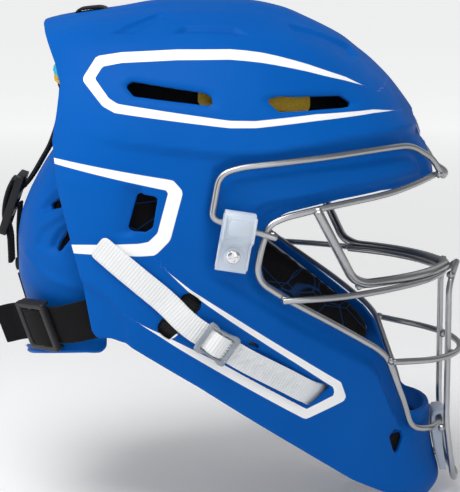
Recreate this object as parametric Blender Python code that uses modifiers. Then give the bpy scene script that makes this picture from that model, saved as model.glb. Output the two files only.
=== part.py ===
"""Hockey-style catcher's mask: moulded shell, floating back plate, wire cage, clips, straps and pads.

World frame: +X is the way the wearer looks, +Z is up, +Y is the wearer's left.
The origin lies in the middle of the head cavity.  Lengths below are millimetres.
"""

import math

import bmesh
import bpy
import numpy as np
from mathutils import Matrix, Vector

MM = 0.001
OBJECT_NAME = "catchers_mask"

# ---- driving dimensions -------------------------------------------------------------
SHELL_THICKNESS = 3.5
PLATE_THICKNESS = 3.0
GAP = 0.35
WIRE_RADIUS = 2.0
WIRE_OFF_SHELL = 4.0
CHIN_STRAP_WIDTH = 15.0
CHIN_STRAP_THICKNESS = 1.6
CHIN_STRAP_LIFT = 4.2
ELASTIC_WIDTH = 25.0
ELASTIC_THICKNESS = 2.0
CROWN_STRAP_WIDTH = 20.0
CROWN_STRAP_THICKNESS = 1.8
CLIP_WIDTH = 21.0
SWING_AXIS = (-94.0, 0.0, 120.0)

# Shell cross-sections from the crown down: height, front, back, widest x, half width
SHELL_LEVELS = (
    (139.4, 0.0, -3.0, -1.0, 0.0),
    (138.0, 22.0, -36.0, -5.0, 20.0),
    (134.0, 42.0, -61.0, -10.0, 39.0),
    (127.0, 59.0, -104.0, -14.0, 56.0),
    (115.7, 81.0, -127.0, -18.0, 74.0),
    (100.0, 102.0, -134.0, -20.0, 88.0),
    (82.6, 117.0, -141.0, -22.0, 98.0),
    (60.0, 130.0, -146.0, -24.0, 106.0),
    (30.0, 140.0, -149.0, -26.0, 111.0),
    (0.0, 141.0, -150.0, -30.0, 113.0),
    (-40.0, 140.5, -150.0, -36.0, 111.0),
    (-80.0, 140.0, -150.0, -42.0, 106.0),
    (-120.0, 139.0, -150.0, -45.0, 98.0),
    (-150.0, 142.5, -150.0, -45.0, 90.0),
    (-170.0, 147.3, -150.0, -45.0, 84.0),
    (-185.0, 139.0, -150.0, -45.0, 78.0),
)
SHELL_POWER = 2.15

# Back plate cross-sections: height, back, half width
PLATE_LEVELS = (
    (52.0, -98.0, 78.0),
    (40.0, -106.5, 82.0),
    (29.0, -113.0, 85.0),
    (17.0, -119.0, 87.5),
    (4.0, -123.5, 89.0),
    (-11.0, -125.5, 89.5),
    (-28.0, -125.5, 89.5),
    (-46.0, -121.5, 88.0),
    (-66.0, -114.0, 85.0),
    (-76.0, -114.5, 84.5),
    (-83.0, -118.0, 86.0),
    (-88.0, -121.5, 88.0),
)
PLATE_POWER = 2.8
PLATE_CENTRE_X = -50.0
PLATE_FRONT_X = -64.0

# Side-view outlines (x, z)
REAR_EDGE = (
    (-112, 150), (-110.5, 131), (-103, 118), (-95.5, 103), (-92, 92), (-93.5, 76), (-96, 59),
    (-92.5, 31), (-84, -1), (-77, -27), (-72, -55), (-69, -59), (-60, -59), (-51, -62),
)
BOTTOM_EDGE = ((-7, -90), (55, -134), (88, -158), (108, -169), (134, -181), (160, -181))
FACE_OPENING = (
    (220, 26), (104, 26), (77, 23), (46, 17), (38, 13), (33, -1), (30, -15), (33, -25),
    (45, -33), (72, -52), (101, -72), (108, -80), (120, -113), (127, -121), (220, -122),
)
CROWN_VENT = ((-51, 92), (-47, 94.5), (-4, 88), (0, 86), (1.5, 81), (-46, 86.5))
BROW_VENT = ((33, 84), (41, 85.5), (78, 84.5), (86, 79), (80, 78), (41, 77))
EAR_VENT = ((-43, 30), (-31, 28), (-34, 10), (-38, 7), (-49, 8))
SIDE_SLOT = ((23, -61.3), (25, -61), (28.8, -64), (28, -66.3), (23, -63.3))
STRAP_SLOT = ((73.5, -94), (64.5, -86.5), (50.5, -99.5), (59.8, -105.8))
KEEPER_SLOT = (
    (-12, -30), (-5.5, -35), (-6, -39.5), (-21.5, -58), (-25.5, -59), (-31.5, -54), (-31.5, -49.5),
    (-16, -31),
)
CHIN_VENT = ((112, -133), (115, -129), (120, -131), (121, -135), (116, -147))
JAW_PAD = (
    (-56, 36), (-20, 36), (-8, 8), (24, 1), (27, -17), (29, -24), (41, -32.5), (64, -49),
    (87, -65.5), (98.5, -74.5), (106.5, -86), (104, -94), (84, -95), (66, -88), (40, -79), (0, -67),
    (-37, -54), (-41, -20), (-56, -5),
)
JAW_FOAM = (
    (-30, -3), (22, -2), (25, -17), (27, -25.5), (40, -35), (63, -51.5), (86, -68), (96.5, -76.5),
    (103.5, -86), (101, -92), (84, -93), (66, -86), (40, -77), (0, -65), (-36, -52), (-38, -20),
)
CROWN_STRAP_SLOTS = (-68.0, -88.5)
BADGE_PLACE = (128.9, 0.0, 59.4)
BADGE_AXIS = (0.93, 0.0, 0.36)
CHIN_SCREW = (144.1, 0.0, -157.0)

# How far the back plate's lower edge rises toward its sides
PLATE_HEM_RISE = 17.0
PLATE_HEM_START = -50.0

collection = None
cutter_collection = None


# ---- small helpers ------------------------------------------------------------------
def smooth_curve(stations, values, at):
    """Shape-preserving cubic through the stations, so tables stay short."""
    stations = np.asarray(stations, float)
    values = np.asarray(values, float)
    step = np.diff(stations)
    slope = np.diff(values) / step
    tangent = np.zeros_like(values)
    tangent[0] = slope[0]
    tangent[-1] = slope[-1]
    for i in range(1, len(values) - 1):
        if slope[i - 1] * slope[i] > 0:
            before = 2 * step[i] + step[i - 1]
            after = step[i] + 2 * step[i - 1]
            tangent[i] = (before + after) / (before / slope[i - 1] + after / slope[i])
    at = np.clip(at, stations[0], stations[-1])
    cell = np.clip(np.searchsorted(stations, at, side="right") - 1, 0, len(step) - 1)
    s = (at - stations[cell]) / step[cell]
    h = step[cell]
    return (
        (2 * s**3 - 3 * s**2 + 1) * values[cell]
        + (s**3 - 2 * s**2 + s) * h * tangent[cell]
        + (3 * s**2 - 2 * s**3) * values[cell + 1]
        + (s**3 - s**2) * h * tangent[cell + 1]
    )


def shell_section(level):
    """Height, front, back, widest x and half width at a level number (0 is the crown)."""
    rows = np.array(SHELL_LEVELS)
    index = np.arange(len(rows))
    return [smooth_curve(index, rows[:, c], level) for c in range(5)]


def shell_point(level, angle):
    """Outer surface; angle 0 is the front centre line and pi the back centre line."""
    z, front, back, middle, width = shell_section(level)
    along = np.sign(np.cos(angle)) * np.abs(np.cos(angle)) ** (2 / SHELL_POWER)
    across = np.sign(np.sin(angle)) * np.abs(np.sin(angle)) ** (2 / SHELL_POWER)
    reach = np.where(along >= 0, front - middle, middle - back)
    return np.stack([middle + reach * along, width * across, z + 0 * angle], -1)


FINE_LEVELS = np.linspace(0, len(SHELL_LEVELS) - 1, 1201)
FINE_SECTIONS = shell_section(FINE_LEVELS)


def shell_half_width(x, z):
    """Half width of the shell's outer surface at a side-view position."""
    order = np.argsort(FINE_SECTIONS[0])
    front, back, middle, width = (
        float(np.interp(z, FINE_SECTIONS[0][order], FINE_SECTIONS[c][order])) for c in (1, 2, 3, 4)
    )
    reach = (x - middle) / (front - middle) if x >= middle else (middle - x) / (middle - back)
    reach = min(abs(reach), 0.999)
    return width * (1 - reach**SHELL_POWER) ** (1 / SHELL_POWER)


def plate_half_width(x, z):
    """Half width of the back plate's outer surface at a side-view position."""
    rows = np.array(PLATE_LEVELS)
    back = float(np.interp(-z, -rows[:, 0], rows[:, 1]))
    width = float(np.interp(-z, -rows[:, 0], rows[:, 2]))
    reach = min(max((PLATE_CENTRE_X - x) / (PLATE_CENTRE_X - back), 0.0), 0.999)
    return width * (1 - reach**PLATE_POWER) ** (1 / PLATE_POWER)


def side_point(x, z, out, side, half_width=shell_half_width):
    """Point 'out' beyond a surface along its normal; side is -1 (right) or +1 (left)."""
    e = 1.0
    dx = (half_width(x + e, z) - half_width(x - e, z)) / (2 * e)
    dz = (half_width(x, z + e) - half_width(x, z - e)) / (2 * e)
    normal = Vector((-dx, 1.0, -dz)).normalized()
    point = Vector((x, half_width(x, z), z)) + normal * out
    return Vector((point.x, side * point.y, point.z))


def side_frame(x, z, toward, side, half_width=shell_half_width):
    """Axes on the surface: first along 'toward' (dx, dz), second across, third outward."""
    e = 1.0
    dx = (half_width(x + e, z) - half_width(x - e, z)) / (2 * e)
    dz = (half_width(x, z + e) - half_width(x, z - e)) / (2 * e)
    normal = Vector((-dx, 1.0, -dz)).normalized()
    slope = dx * toward[0] + dz * toward[1]
    along = Vector((toward[0], slope, toward[1])).normalized()
    across = normal.cross(along).normalized()
    axes = [Vector((v.x, side * v.y, v.z)) for v in (along, across, normal)]
    if side < 0:
        axes[1] = -axes[1]
    return axes


def material(name, colour, rough=0.5, metal=0.0, transmission=0.0):
    found = bpy.data.materials.get(name)
    if found:
        return found
    mat = bpy.data.materials.new(name)
    mat.use_nodes = True
    shader = mat.node_tree.nodes["Principled BSDF"]
    shader.inputs["Base Color"].default_value = (*colour, 1.0)
    shader.inputs["Roughness"].default_value = rough
    shader.inputs["Metallic"].default_value = metal
    shader.inputs["Transmission Weight"].default_value = transmission
    mat.diffuse_color = (*colour, 1.0)
    return mat


def add_object(name, verts, faces, mat=None, smooth=True, cutter=False):
    """New mesh object from millimetre vertices, welded and with outward normals."""
    mesh = bpy.data.meshes.new(name)
    mesh.from_pydata([tuple(c * MM for c in v) for v in verts], [], faces)
    work = bmesh.new()
    work.from_mesh(mesh)
    bmesh.ops.remove_doubles(work, verts=work.verts, dist=0.00002)
    bmesh.ops.dissolve_degenerate(work, dist=0.00001, edges=work.edges)
    bmesh.ops.recalc_face_normals(work, faces=work.faces)
    work.to_mesh(mesh)
    work.free()
    obj = bpy.data.objects.new(name, mesh)
    (cutter_collection if cutter else collection).objects.link(obj)
    if mat:
        mesh.materials.append(mat)
    for polygon in mesh.polygons:
        polygon.use_smooth = smooth
    if cutter:
        obj.hide_render = True
        obj.display_type = "WIRE"
    return obj


def grid_faces(rows, columns, wrap=False):
    """Quads over a grid of points stored row by row."""
    faces = []
    last = columns if wrap else columns - 1
    for r in range(rows - 1):
        for c in range(last):
            d = (c + 1) % columns
            faces.append((r * columns + c, r * columns + d, (r + 1) * columns + d, (r + 1) * columns + c))
    return faces


def extruded(name, outline, low, high, axis="Y", cutter=True, mat=None):
    """Closed prism: an outline in the plane across 'axis', from low to high along it."""
    count = len(outline)
    verts = []
    for level in (low, high):
        for a, b in outline:
            verts.append({"Y": (a, level, b), "Z": (a, b, level), "X": (level, a, b)}[axis])
    faces = [tuple(range(count)), tuple(range(2 * count - 1, count - 1, -1))]
    for i in range(count):
        j = (i + 1) % count
        faces.append((i, j, count + j, count + i))
    return add_object(name, verts, faces, mat, smooth=False, cutter=cutter)


def cut(target, cutter, operation="DIFFERENCE"):
    modifier = target.modifiers.new("Cut " + cutter.name, "BOOLEAN")
    modifier.operation = operation
    modifier.solver = "EXACT"
    modifier.object = cutter


def solidify(target, thickness):
    """Inward skin thickness; every face normal points outward."""
    modifier = target.modifiers.new("Wall", "SOLIDIFY")
    modifier.thickness = thickness * MM
    modifier.offset = -1.0
    modifier.use_even_offset = True


def box(name, centre, axes, sizes, mat, bevel=0.0, cutter=False):
    """Box on its own three axes, with an optional rounded-edge modifier."""
    verts = []
    for i in (-0.5, 0.5):
        for j in (-0.5, 0.5):
            for k in (-0.5, 0.5):
                offset = axes[0] * i * sizes[0] + axes[1] * j * sizes[1] + axes[2] * k * sizes[2]
                verts.append(Vector(centre) + offset)
    faces = [(0, 1, 3, 2), (4, 6, 7, 5), (0, 4, 5, 1), (2, 3, 7, 6), (0, 2, 6, 4), (1, 5, 7, 3)]
    obj = add_object(name, verts, faces, mat, smooth=False, cutter=cutter)
    if bevel:
        edge = obj.modifiers.new("Rounded edges", "BEVEL")
        edge.width = bevel * MM
        edge.segments = 2
    return obj


def plain_axes():
    return Vector((1, 0, 0)), Vector((0, 1, 0)), Vector((0, 0, 1))


def rod(name, points, radius, mat, fillet=7.0, steps=3, sides=2):
    """Bent round wire: every inner point of the route gets a rounded bend."""
    route = round_corners([Vector(p) for p in points], fillet, steps)
    curve = bpy.data.curves.new(name + "_route", "CURVE")
    curve.dimensions = "3D"
    curve.bevel_depth = radius * MM
    curve.bevel_resolution = sides - 1
    curve.use_fill_caps = True
    spline = curve.splines.new("POLY")
    spline.points.add(len(route) - 1)
    for slot, point in zip(spline.points, route):
        slot.co = (*(point * MM), 1.0)
    carrier = bpy.data.objects.new(name + "_route", curve)
    collection.objects.link(carrier)
    bpy.context.view_layer.update()
    graph = bpy.context.evaluated_depsgraph_get()
    mesh = bpy.data.meshes.new_from_object(carrier.evaluated_get(graph))
    mesh.transform(carrier.matrix_world)
    bpy.data.objects.remove(carrier)
    bpy.data.curves.remove(curve)
    work = bmesh.new()
    work.from_mesh(mesh)
    bmesh.ops.remove_doubles(work, verts=work.verts, dist=0.00002)
    bmesh.ops.recalc_face_normals(work, faces=work.faces)
    work.to_mesh(mesh)
    work.free()
    mesh.name = name
    mesh.materials.clear()
    mesh.materials.append(mat)
    for polygon in mesh.polygons:
        polygon.use_smooth = len(polygon.vertices) == 4
    obj = bpy.data.objects.new(name, mesh)
    collection.objects.link(obj)
    return obj


def round_corners(points, fillet, steps):
    """Replace each sharp corner by a short arc of 'steps' pieces."""
    route = [points[0]]
    for before, corner, after in zip(points, points[1:], points[2:]):
        back = before - corner
        ahead = after - corner
        reach = min(fillet, back.length * 0.45, ahead.length * 0.45)
        start = corner + back.normalized() * reach
        finish = corner + ahead.normalized() * reach
        if back.angle(-ahead) < math.radians(12):
            route.append(corner)
            continue
        for s in range(steps + 1):
            t = s / steps
            route.append(start * (1 - t) ** 2 + corner * 2 * t * (1 - t) + finish * t**2)
    route.append(points[-1])
    return route


def mirrored(points):
    """Route that runs on over the centre line to the other side."""
    other = [(x, -y, z) for x, y, z in reversed(points) if abs(y) > 1e-6]
    return list(points) + other


def ribbon(name, centres, normals, width, thickness, mat):
    """Flat strap: centre points with the outward normal at each of them."""
    verts = []
    count = len(centres)
    for i, (centre, normal) in enumerate(zip(centres, normals)):
        before = centres[max(i - 1, 0)]
        after = centres[min(i + 1, count - 1)]
        along = (after - before).normalized()
        across = along.cross(normal).normalized()
        up = across.cross(along).normalized()
        for a, b in ((-0.5, -0.5), (0.5, -0.5), (0.5, 0.5), (-0.5, 0.5)):
            verts.append(centre + across * a * width + up * b * thickness)
    faces = grid_faces(count, 4, wrap=True)
    faces.append((0, 1, 2, 3))
    faces.append(tuple(4 * (count - 1) + k for k in (3, 2, 1, 0)))
    return add_object(name, verts, faces, mat, smooth=False)


def lathe(name, base, axis, profile, mat, sides=16):
    """Solid of revolution: (radius, height) steps from the base point along an axis."""
    axis = Vector(axis).normalized()
    side = axis.orthogonal().normalized()
    other = axis.cross(side)
    verts = []
    for radius, height in profile:
        for s in range(sides):
            turn = 2 * math.pi * s / sides
            spoke = side * math.cos(turn) + other * math.sin(turn)
            verts.append(Vector(base) + spoke * radius + axis * height)
    faces = grid_faces(len(profile), sides, wrap=True)
    faces.append(tuple(range(sides)))
    faces.append(tuple(len(profile) * sides - 1 - s for s in range(sides)))
    return add_object(name, verts, faces, mat)


def side_name(stem, side):
    return stem + ("_right" if side < 0 else "_left")


# ---- shell and back plate -----------------------------------------------------------
def shell_skin(name, levels, angles, inset, closed_ring, mat, thickness, cutter=False):
    """Part of the shell's form, set inward by 'inset' and given a wall thickness."""
    level, angle = np.meshgrid(levels, angles, indexing="ij")
    points = shell_point(level, angle)
    if inset:
        e = 0.02
        a = shell_point(np.clip(level + e, 0, 15), angle) - shell_point(np.clip(level - e, 0, 15), angle)
        b = shell_point(level, angle + e) - shell_point(level, angle - e)
        normal = np.cross(a, b)
        length = np.linalg.norm(normal, axis=-1, keepdims=True)
        normal = np.where(length > 1e-9, normal / np.maximum(length, 1e-9), np.array([0, 0, 1.0]))
        outward = np.sign((normal * (points - np.array([0, 0, 0]))).sum(-1, keepdims=True))
        points = points - normal * np.where(outward == 0, 1, outward) * inset
        points[level <= 0.001] = (-1.5, 0.0, 139.4 - inset)
    rows, columns = level.shape
    faces = grid_faces(rows, columns, wrap=closed_ring)
    obj = add_object(name, points.reshape(-1, 3), faces, mat, cutter=cutter)
    orient_outward(obj)
    solidify(obj, thickness)
    return obj


def orient_outward(obj):
    """Open sheets have no inside, so point their normals away from the cavity."""
    work = bmesh.new()
    work.from_mesh(obj.data)
    total = sum(f.normal.dot(f.calc_center_median()) * f.calc_area() for f in work.faces)
    if total < 0:
        bmesh.ops.reverse_faces(work, faces=work.faces)
    work.to_mesh(obj.data)
    work.free()


def around(count):
    return np.linspace(0, 2 * math.pi, count, endpoint=False)


def build_shell():
    mat = material("Royal blue shell", (0.010, 0.105, 0.400), 0.42)
    levels = np.concatenate([[0, 0.5], np.arange(1, 9, 0.6), np.arange(9, 15.01, 0.75)])
    obj = shell_skin("front_shell", levels, around(44), 0.0, True, mat, SHELL_THICKNESS)
    behind = list(REAR_EDGE) + list(BOTTOM_EDGE) + [(160, -240), (-220, -240), (-220, 150)]
    cut(obj, extruded("cut_rear_and_hem", behind, -150, 150))
    cut(obj, extruded("cut_face", FACE_OPENING, -151, 151))
    holes = {
        "cut_crown_vent": CROWN_VENT,
        "cut_brow_vent": BROW_VENT,
        "cut_ear_vent": EAR_VENT,
        "cut_side_slot": SIDE_SLOT,
        "cut_strap_slot": STRAP_SLOT,
        "cut_keeper_slot": KEEPER_SLOT,
        "cut_chin_vent": CHIN_VENT,
    }
    for name, outline in holes.items():
        cut(obj, extruded(name, outline, -149, 149))
    for name, x in zip(("cut_crown_slot_front", "cut_crown_slot_rear"), CROWN_STRAP_SLOTS):
        half = CROWN_STRAP_WIDTH / 2 + 1
        cut(obj, box(name, (x, 0, 130), plain_axes(), (4.4, 2 * half, 30), None, cutter=True))
    for side in (-1, 1):
        place = side_point(13, -7, 0, side)
        axis = side_frame(13, -7, (0, 1), side)[2]
        profile = [(2.9, -14), (2.9, 14)]
        hole = lathe(side_name("cut_clip_screw", side), place, axis, profile, None, 12)
        move_to_cutters(hole)
        cut(obj, hole)
    hole = lathe("cut_chin_screw", CHIN_SCREW, (1, 0, 0), [(2.9, -14), (2.9, 14)], None, 12)
    move_to_cutters(hole)
    cut(obj, hole)
    seat = lathe("cut_badge_seat", BADGE_PLACE, BADGE_AXIS, [(10.2, -GAP), (10.2, 8)], None, 24)
    move_to_cutters(seat)
    cut(obj, seat)
    return obj


def move_to_cutters(obj):
    collection.objects.unlink(obj)
    cutter_collection.objects.link(obj)
    obj.hide_render = True
    obj.display_type = "WIRE"


def plate_grid(inset, heights, columns):
    rows = np.array(PLATE_LEVELS)
    verts = []
    for z in heights:
        back = smooth_curve(-rows[:, 0], rows[:, 1], -z) + inset
        width = smooth_curve(-rows[:, 0], rows[:, 2], -z) - inset
        limit = math.asin(((PLATE_CENTRE_X - PLATE_FRONT_X) / (PLATE_CENTRE_X - back)) ** 1.4)
        for turn in np.linspace(limit, math.pi - limit, columns):
            along = abs(math.sin(turn)) ** (2 / PLATE_POWER)
            across = math.copysign(abs(math.cos(turn)) ** (2 / PLATE_POWER), math.cos(turn))
            y = width * across
            x = PLATE_CENTRE_X - (PLATE_CENTRE_X - back) * along
            verts.append((x, y, z + hem_rise(y, z)))
    return verts


def hem_rise(y, z):
    """Lift of the plate's lower part at a distance from the centre line."""
    weight = min(max((PLATE_HEM_START - z) / (PLATE_HEM_START + 88.0), 0.0), 1.0)
    return PLATE_HEM_RISE * (min(abs(y), 85.0) / 85.0) ** 1.2 * weight


def build_back_plate():
    mat = material("Royal blue shell", (0.010, 0.105, 0.400), 0.42)
    heights = np.concatenate([np.arange(50, -73, -12.2), [-77, -82, -88]])
    columns = 23
    obj = add_object("back_plate", plate_grid(0, heights, columns), grid_faces(len(heights), columns), mat)
    orient_outward(obj)
    solidify(obj, PLATE_THICKNESS)
    scoops = {
        "cut_plate_vent_upper": (
            (-101.2, 15.6), (-100.6, 18), (-94.5, 23.4), (-85, 29), (-83.5, 24), (-93, 17.2),
        ),
        "cut_plate_vent_lower": (
            (-96.6, -9.2), (-95.4, -4.2), (-90.5, 2.2), (-79, 10.5), (-80, 4), (-88.5, -2.5), (-94, -9.4),
        ),
    }
    for name, outline in scoops.items():
        cut(obj, extruded(name, outline, -148, 148))
    corner = [(-60, 56), (-60, 12), (-76, 30), (-92, 56)]
    cut(obj, extruded("cut_plate_corner", corner, -147, 147))
    return obj


# ---- cage ---------------------------------------------------------------------------
def on_shell(x, z, out):
    """Right-hand point off the shell as a plain tuple, for cage routes."""
    point = side_point(x, z, out, -1)
    return (point.x, point.y, point.z)


def build_cage():
    steel = material("Satin steel wire", (0.55, 0.56, 0.58), 0.28, 1.0)
    off = WIRE_OFF_SHELL
    brow = [
        on_shell(37, 4, off + 4.8), on_shell(24, 8, off + 1.6), on_shell(8, 12.5, off),
        on_shell(0.5, 16, off), on_shell(5, 41, off), on_shell(18, 45, off), on_shell(43, 47, off),
        on_shell(69, 49, off), on_shell(96, 51, off), on_shell(119, 51, off), (137.5, -37, 42),
        (144, -32, 30), (149.5, 0, 29),
    ]
    rod("cage_brow_wire", mirrored(brow), WIRE_RADIUS, steel, 8)
    near = 3.0
    edge = [
        (137.2, -35, 30.5), on_shell(122, 28, near), on_shell(104, 24.5, near), on_shell(68, 20, near),
        on_shell(43, 15, near), on_shell(34, 11, near), on_shell(30, -1, near), on_shell(27, -16, near),
        on_shell(30, -24, near), on_shell(43, -33.5, near), on_shell(79, -56, near),
        on_shell(101, -72, near), on_shell(107, -79, near), on_shell(119, -113, near),
        on_shell(123, -129, near), (138, -34, -133), (146.6, -16, -133), (147, 0, -133),
    ]
    rod("cage_opening_wire", mirrored(edge), WIRE_RADIUS, steel, 8)
    ring = [
        (157, 0, -30), (151.6, -27, -34), (149.5, -30, -42), (149.5, -30, -81), (149.5, -29, -125),
        (150, -29, -134), (154, -27, -163), (156, -19, -170), (159, 0, -170.5),
    ]
    loop = mirrored(ring)
    rod("cage_centre_ring", loop[:-1] + [(157, 0.5, -30)], WIRE_RADIUS, steel, 7)
    lower = [
        on_shell(43, -34.5, near + 4.4), (79, -96, -35.6), (110, -69, -35.6), (137, -36, -35.6),
        (151, 0, -35.6),
    ]
    rod("cage_nose_bar_lower", mirrored(lower), WIRE_RADIUS, steel, 12)
    upper = [
        on_shell(63, 15.5, near), (86, -77, -27), (94, -73, -31), (118, -56, -31),
        (137, -33, -31), (151, 0, -31),
    ]
    rod("cage_nose_bar_upper", mirrored(upper), WIRE_RADIUS, steel, 7)
    inner = [(90, -68, -33.3), (113, -53, -33.3), (132, -31, -33.3), (145.5, 0, -33.3)]
    rod("cage_nose_bar_inner", mirrored(inner), WIRE_RADIUS, steel, 10)
    mouth = [
        on_shell(109, -80.5, near + 4.5), (140, -52, -83.5), (157, -30, -84), (161, 0, -84.5),
    ]
    rod("cage_mouth_bar", mirrored(mouth), WIRE_RADIUS, steel, 12)


# ---- clips and screws ---------------------------------------------------------------
def clip_body(name, place, axes, profile, width, mat):
    """Bent plastic plate: a profile in the (along, outward) plane, swept across."""
    verts = []
    count = len(profile)
    for a in (-0.5, 0.5):
        for along, outward in profile:
            verts.append(place + axes[0] * along + axes[1] * a * width + axes[2] * outward)
    faces = [tuple(range(count)), tuple(range(2 * count - 1, count - 1, -1))]
    for i in range(count):
        j = (i + 1) % count
        faces.append((i, j, count + j, count + i))
    obj = add_object(name, verts, faces, mat, smooth=False)
    edge = obj.modifiers.new("Rounded edges", "BEVEL")
    edge.width = 0.6 * MM
    edge.segments = 1
    return obj


def build_side_clips():
    clear = material("Clear frosted plastic", (0.80, 0.86, 0.92), 0.35, 0.0, 0.6)
    steel = material("Screw steel", (0.62, 0.62, 0.64), 0.25, 1.0)
    lean = (0.17, 1.0)
    for side in (-1, 1):
        place = side_point(13, -7, 0, side)
        axes = side_frame(13, -7, lean, side)
        foot = 1.0
        roof = 8.4
        profile = [
            (-9, foot), (-9, 3.6), (7, 3.6), (11, roof + 2.4), (23, roof + 2.4), (27.5, roof - 1),
            (27.5, foot + 1.2), (25.2, foot + 1.2), (25.2, roof - 1.8), (22.4, roof), (12.6, roof),
            (9.2, foot),
        ]
        clip = clip_body(side_name("side_clip", side), place, axes, profile, CLIP_WIDTH, clear)
        hole = lathe(side_name("cut_side_clip", side), place, axes[2], [(2.9, -3), (2.9, 8)], None, 12)
        move_to_cutters(hole)
        cut(clip, hole)
        head = [(2.3, -3.2), (2.3, 3.95), (4.6, 3.95), (4.2, 5.4), (2.6, 6.3)]
        lathe(side_name("clip_screw", side), place, axes[2], head, steel, 14)
        nut = [(5.6, -8.4), (5.6, -6.9), (2.7, -6.9), (2.7, -6.2), (5.0, -6.2), (5.0, -4.5)]
        lathe(side_name("clip_nut", side), place, axes[2], nut, steel, 14)


def build_chin_clip():
    clear = material("Clear frosted plastic", (0.80, 0.86, 0.92), 0.35, 0.0, 0.6)
    steel = material("Screw steel", (0.62, 0.62, 0.64), 0.25, 1.0)
    outline = [
        (147.5, -166.5), (146.2, -162), (144.9, -157), (143.3, -151), (141.9, -143), (141.2, -138),
        (141.1, -131), (142.6, -127.6), (146.8, -126.0), (150.6, -127.8), (152.3, -133.5),
        (157.3, -163), (155.8, -163.3), (150.8, -134), (149.7, -130.4), (147, -129.3),
        (144.3, -130.4), (143.8, -136.4), (148.4, -137.4), (149.2, -150), (152.0, -166.5),
    ]
    clip = extruded("chin_clip", outline, -12, 12, cutter=False, mat=clear)
    bore = [(2.9, -5), (2.9, 2.8), (4.8, 2.8), (4.8, 8.0)]
    hole = lathe("cut_chin_clip", CHIN_SCREW, (1, 0, 0), bore, None, 14)
    move_to_cutters(hole)
    cut(clip, hole)
    head = [(2.3, -3.0), (2.3, 3.1), (4.2, 3.1), (3.9, 4.4), (2.4, 5.2)]
    lathe("chin_screw", CHIN_SCREW, (1, 0, 0), head, steel, 14)
    nut = [(5.4, -8.0), (5.4, -6.6), (5.0, -6.6), (5.0, -4.9)]
    lathe("chin_nut", CHIN_SCREW, (1, 0, 0), nut, steel, 14)


# ---- pads ---------------------------------------------------------------------------
def build_crown_pads():
    """Three foam layers under the crown; each lower edge rises toward the back."""
    layers = (
        ("crown_pad_outer", "Cyan foam", (0.05, 0.45, 0.60), 5.0, 6.0, 6.3, 97.0, 82.0, 6),
        ("crown_pad_middle", "Yellow foam", (0.75, 0.52, 0.05), 11.6, 6.0, 6.7, 92.0, 68.0, -8),
        ("crown_pad_inner", "Black liner", (0.012, 0.012, 0.014), 18.8, 8.0, 6.85, 86.0, 66.0, None),
    )
    for name, look, colour, inset, thickness, last, low_rear, low_front, window_end in layers:
        levels = np.append(np.array([0, 0.8, 1.7, 2.7, 3.8, 5]), last)
        pad = shell_skin(name, levels, around(28), inset, True, material(look, colour, 0.8), thickness)
        fall = (low_front - low_rear) / 208
        trim = [(-230, 160), (-112, 160), (-107, 131), (-100, 117), (-95, 105), (-98, 102), (-98, low_rear)]
        if window_end is not None:
            trim += [(-60, low_rear + 38 * fall), (-60, 99), (window_end, 93)]
            trim += [(window_end, low_rear + (window_end + 98) * fall)]
            trim += [(60, low_rear + 158 * fall), (60, 90), (150, 90)]
        else:
            trim += [(150, low_rear + 248 * fall)]
        trim += [(150, 20), (-230, 20)]
        cut(pad, extruded("cut_rear_" + name, trim, -140, 140))
        strap_way = (-83, 0, 125)
        cut(pad, box("cut_strap_" + name, strap_way, plain_axes(), (60, 28, 70), None, cutter=True))


def build_forehead_pad():
    mat = material("Black liner", (0.012, 0.012, 0.014), 0.8)
    levels = np.array([6.95, 7.5, 8.05])
    angles = np.linspace(-1.05, 1.05, 13)
    shell_skin("forehead_pad", levels, angles, 6.0, False, mat, 12.0)


def build_jaw_pads():
    foam = material("Grey foam", (0.42, 0.43, 0.45), 0.8)
    liner = material("Black liner", (0.012, 0.012, 0.014), 0.8)
    levels = np.arange(7.7, 12.3, 0.75)
    for side in (-1, 1):
        angles = side * np.linspace(0.28, 1.95, 13)
        for stem, mat, inset, thickness, outline in (
            ("jaw_foam", foam, 9.0, 4.5, JAW_FOAM), ("jaw_pad", liner, 14.0, 12.0, JAW_PAD),
        ):
            name = side_name(stem, side)
            pad = shell_skin(name, levels, angles, inset, False, mat, thickness)
            prism = extruded("trim_" + name, outline, side * 27, side * 130)
            cut(pad, prism, "INTERSECT")


def build_chin_pad():
    """Thin liner inside the front of the jaw, behind the chin vents."""
    mat = material("Black liner", (0.012, 0.012, 0.014), 0.8)
    shell_skin("chin_pad", np.array([12.22, 12.6, 12.96]), np.linspace(-0.72, 0.72, 13), 4.5, False, mat, 4.0)


def build_back_pad():
    mat = material("Black liner", (0.012, 0.012, 0.014), 0.8)
    heights = np.arange(34, -64, -12.2)
    columns = 15
    verts = []
    rows = np.array(PLATE_LEVELS)
    for z in heights:
        back = smooth_curve(-rows[:, 0], rows[:, 1], -z) + 6.0
        width = smooth_curve(-rows[:, 0], rows[:, 2], -z) - 6.0
        for turn in np.linspace(0.75, math.pi - 0.75, columns):
            along = abs(math.sin(turn)) ** (2 / PLATE_POWER)
            across = math.copysign(abs(math.cos(turn)) ** (2 / PLATE_POWER), math.cos(turn))
            verts.append((PLATE_CENTRE_X - (PLATE_CENTRE_X - back) * along, width * across, z))
    pad = add_object("back_pad", verts, grid_faces(len(heights), columns), mat)
    orient_outward(pad)
    solidify(pad, 12.0)


def build_chin_cup():
    """Soft moulded cup that the chin straps pull on, inside the jaw."""
    mat = material("Black rubber", (0.015, 0.015, 0.016), 0.6)
    verts = []
    rows = 7
    columns = 15
    for r in range(rows):
        drop = r / (rows - 1)
        for c in range(columns):
            turn = math.radians(-74 + 148 * c / (columns - 1))
            radius = 33 - 15 * drop**2
            verts.append((82 + radius * math.cos(turn), radius * math.sin(turn), -104 - 24 * drop))
    cup = add_object("chin_cup", verts, grid_faces(rows, columns), mat)
    orient_outward(cup)
    solidify(cup, 3.0)


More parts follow.
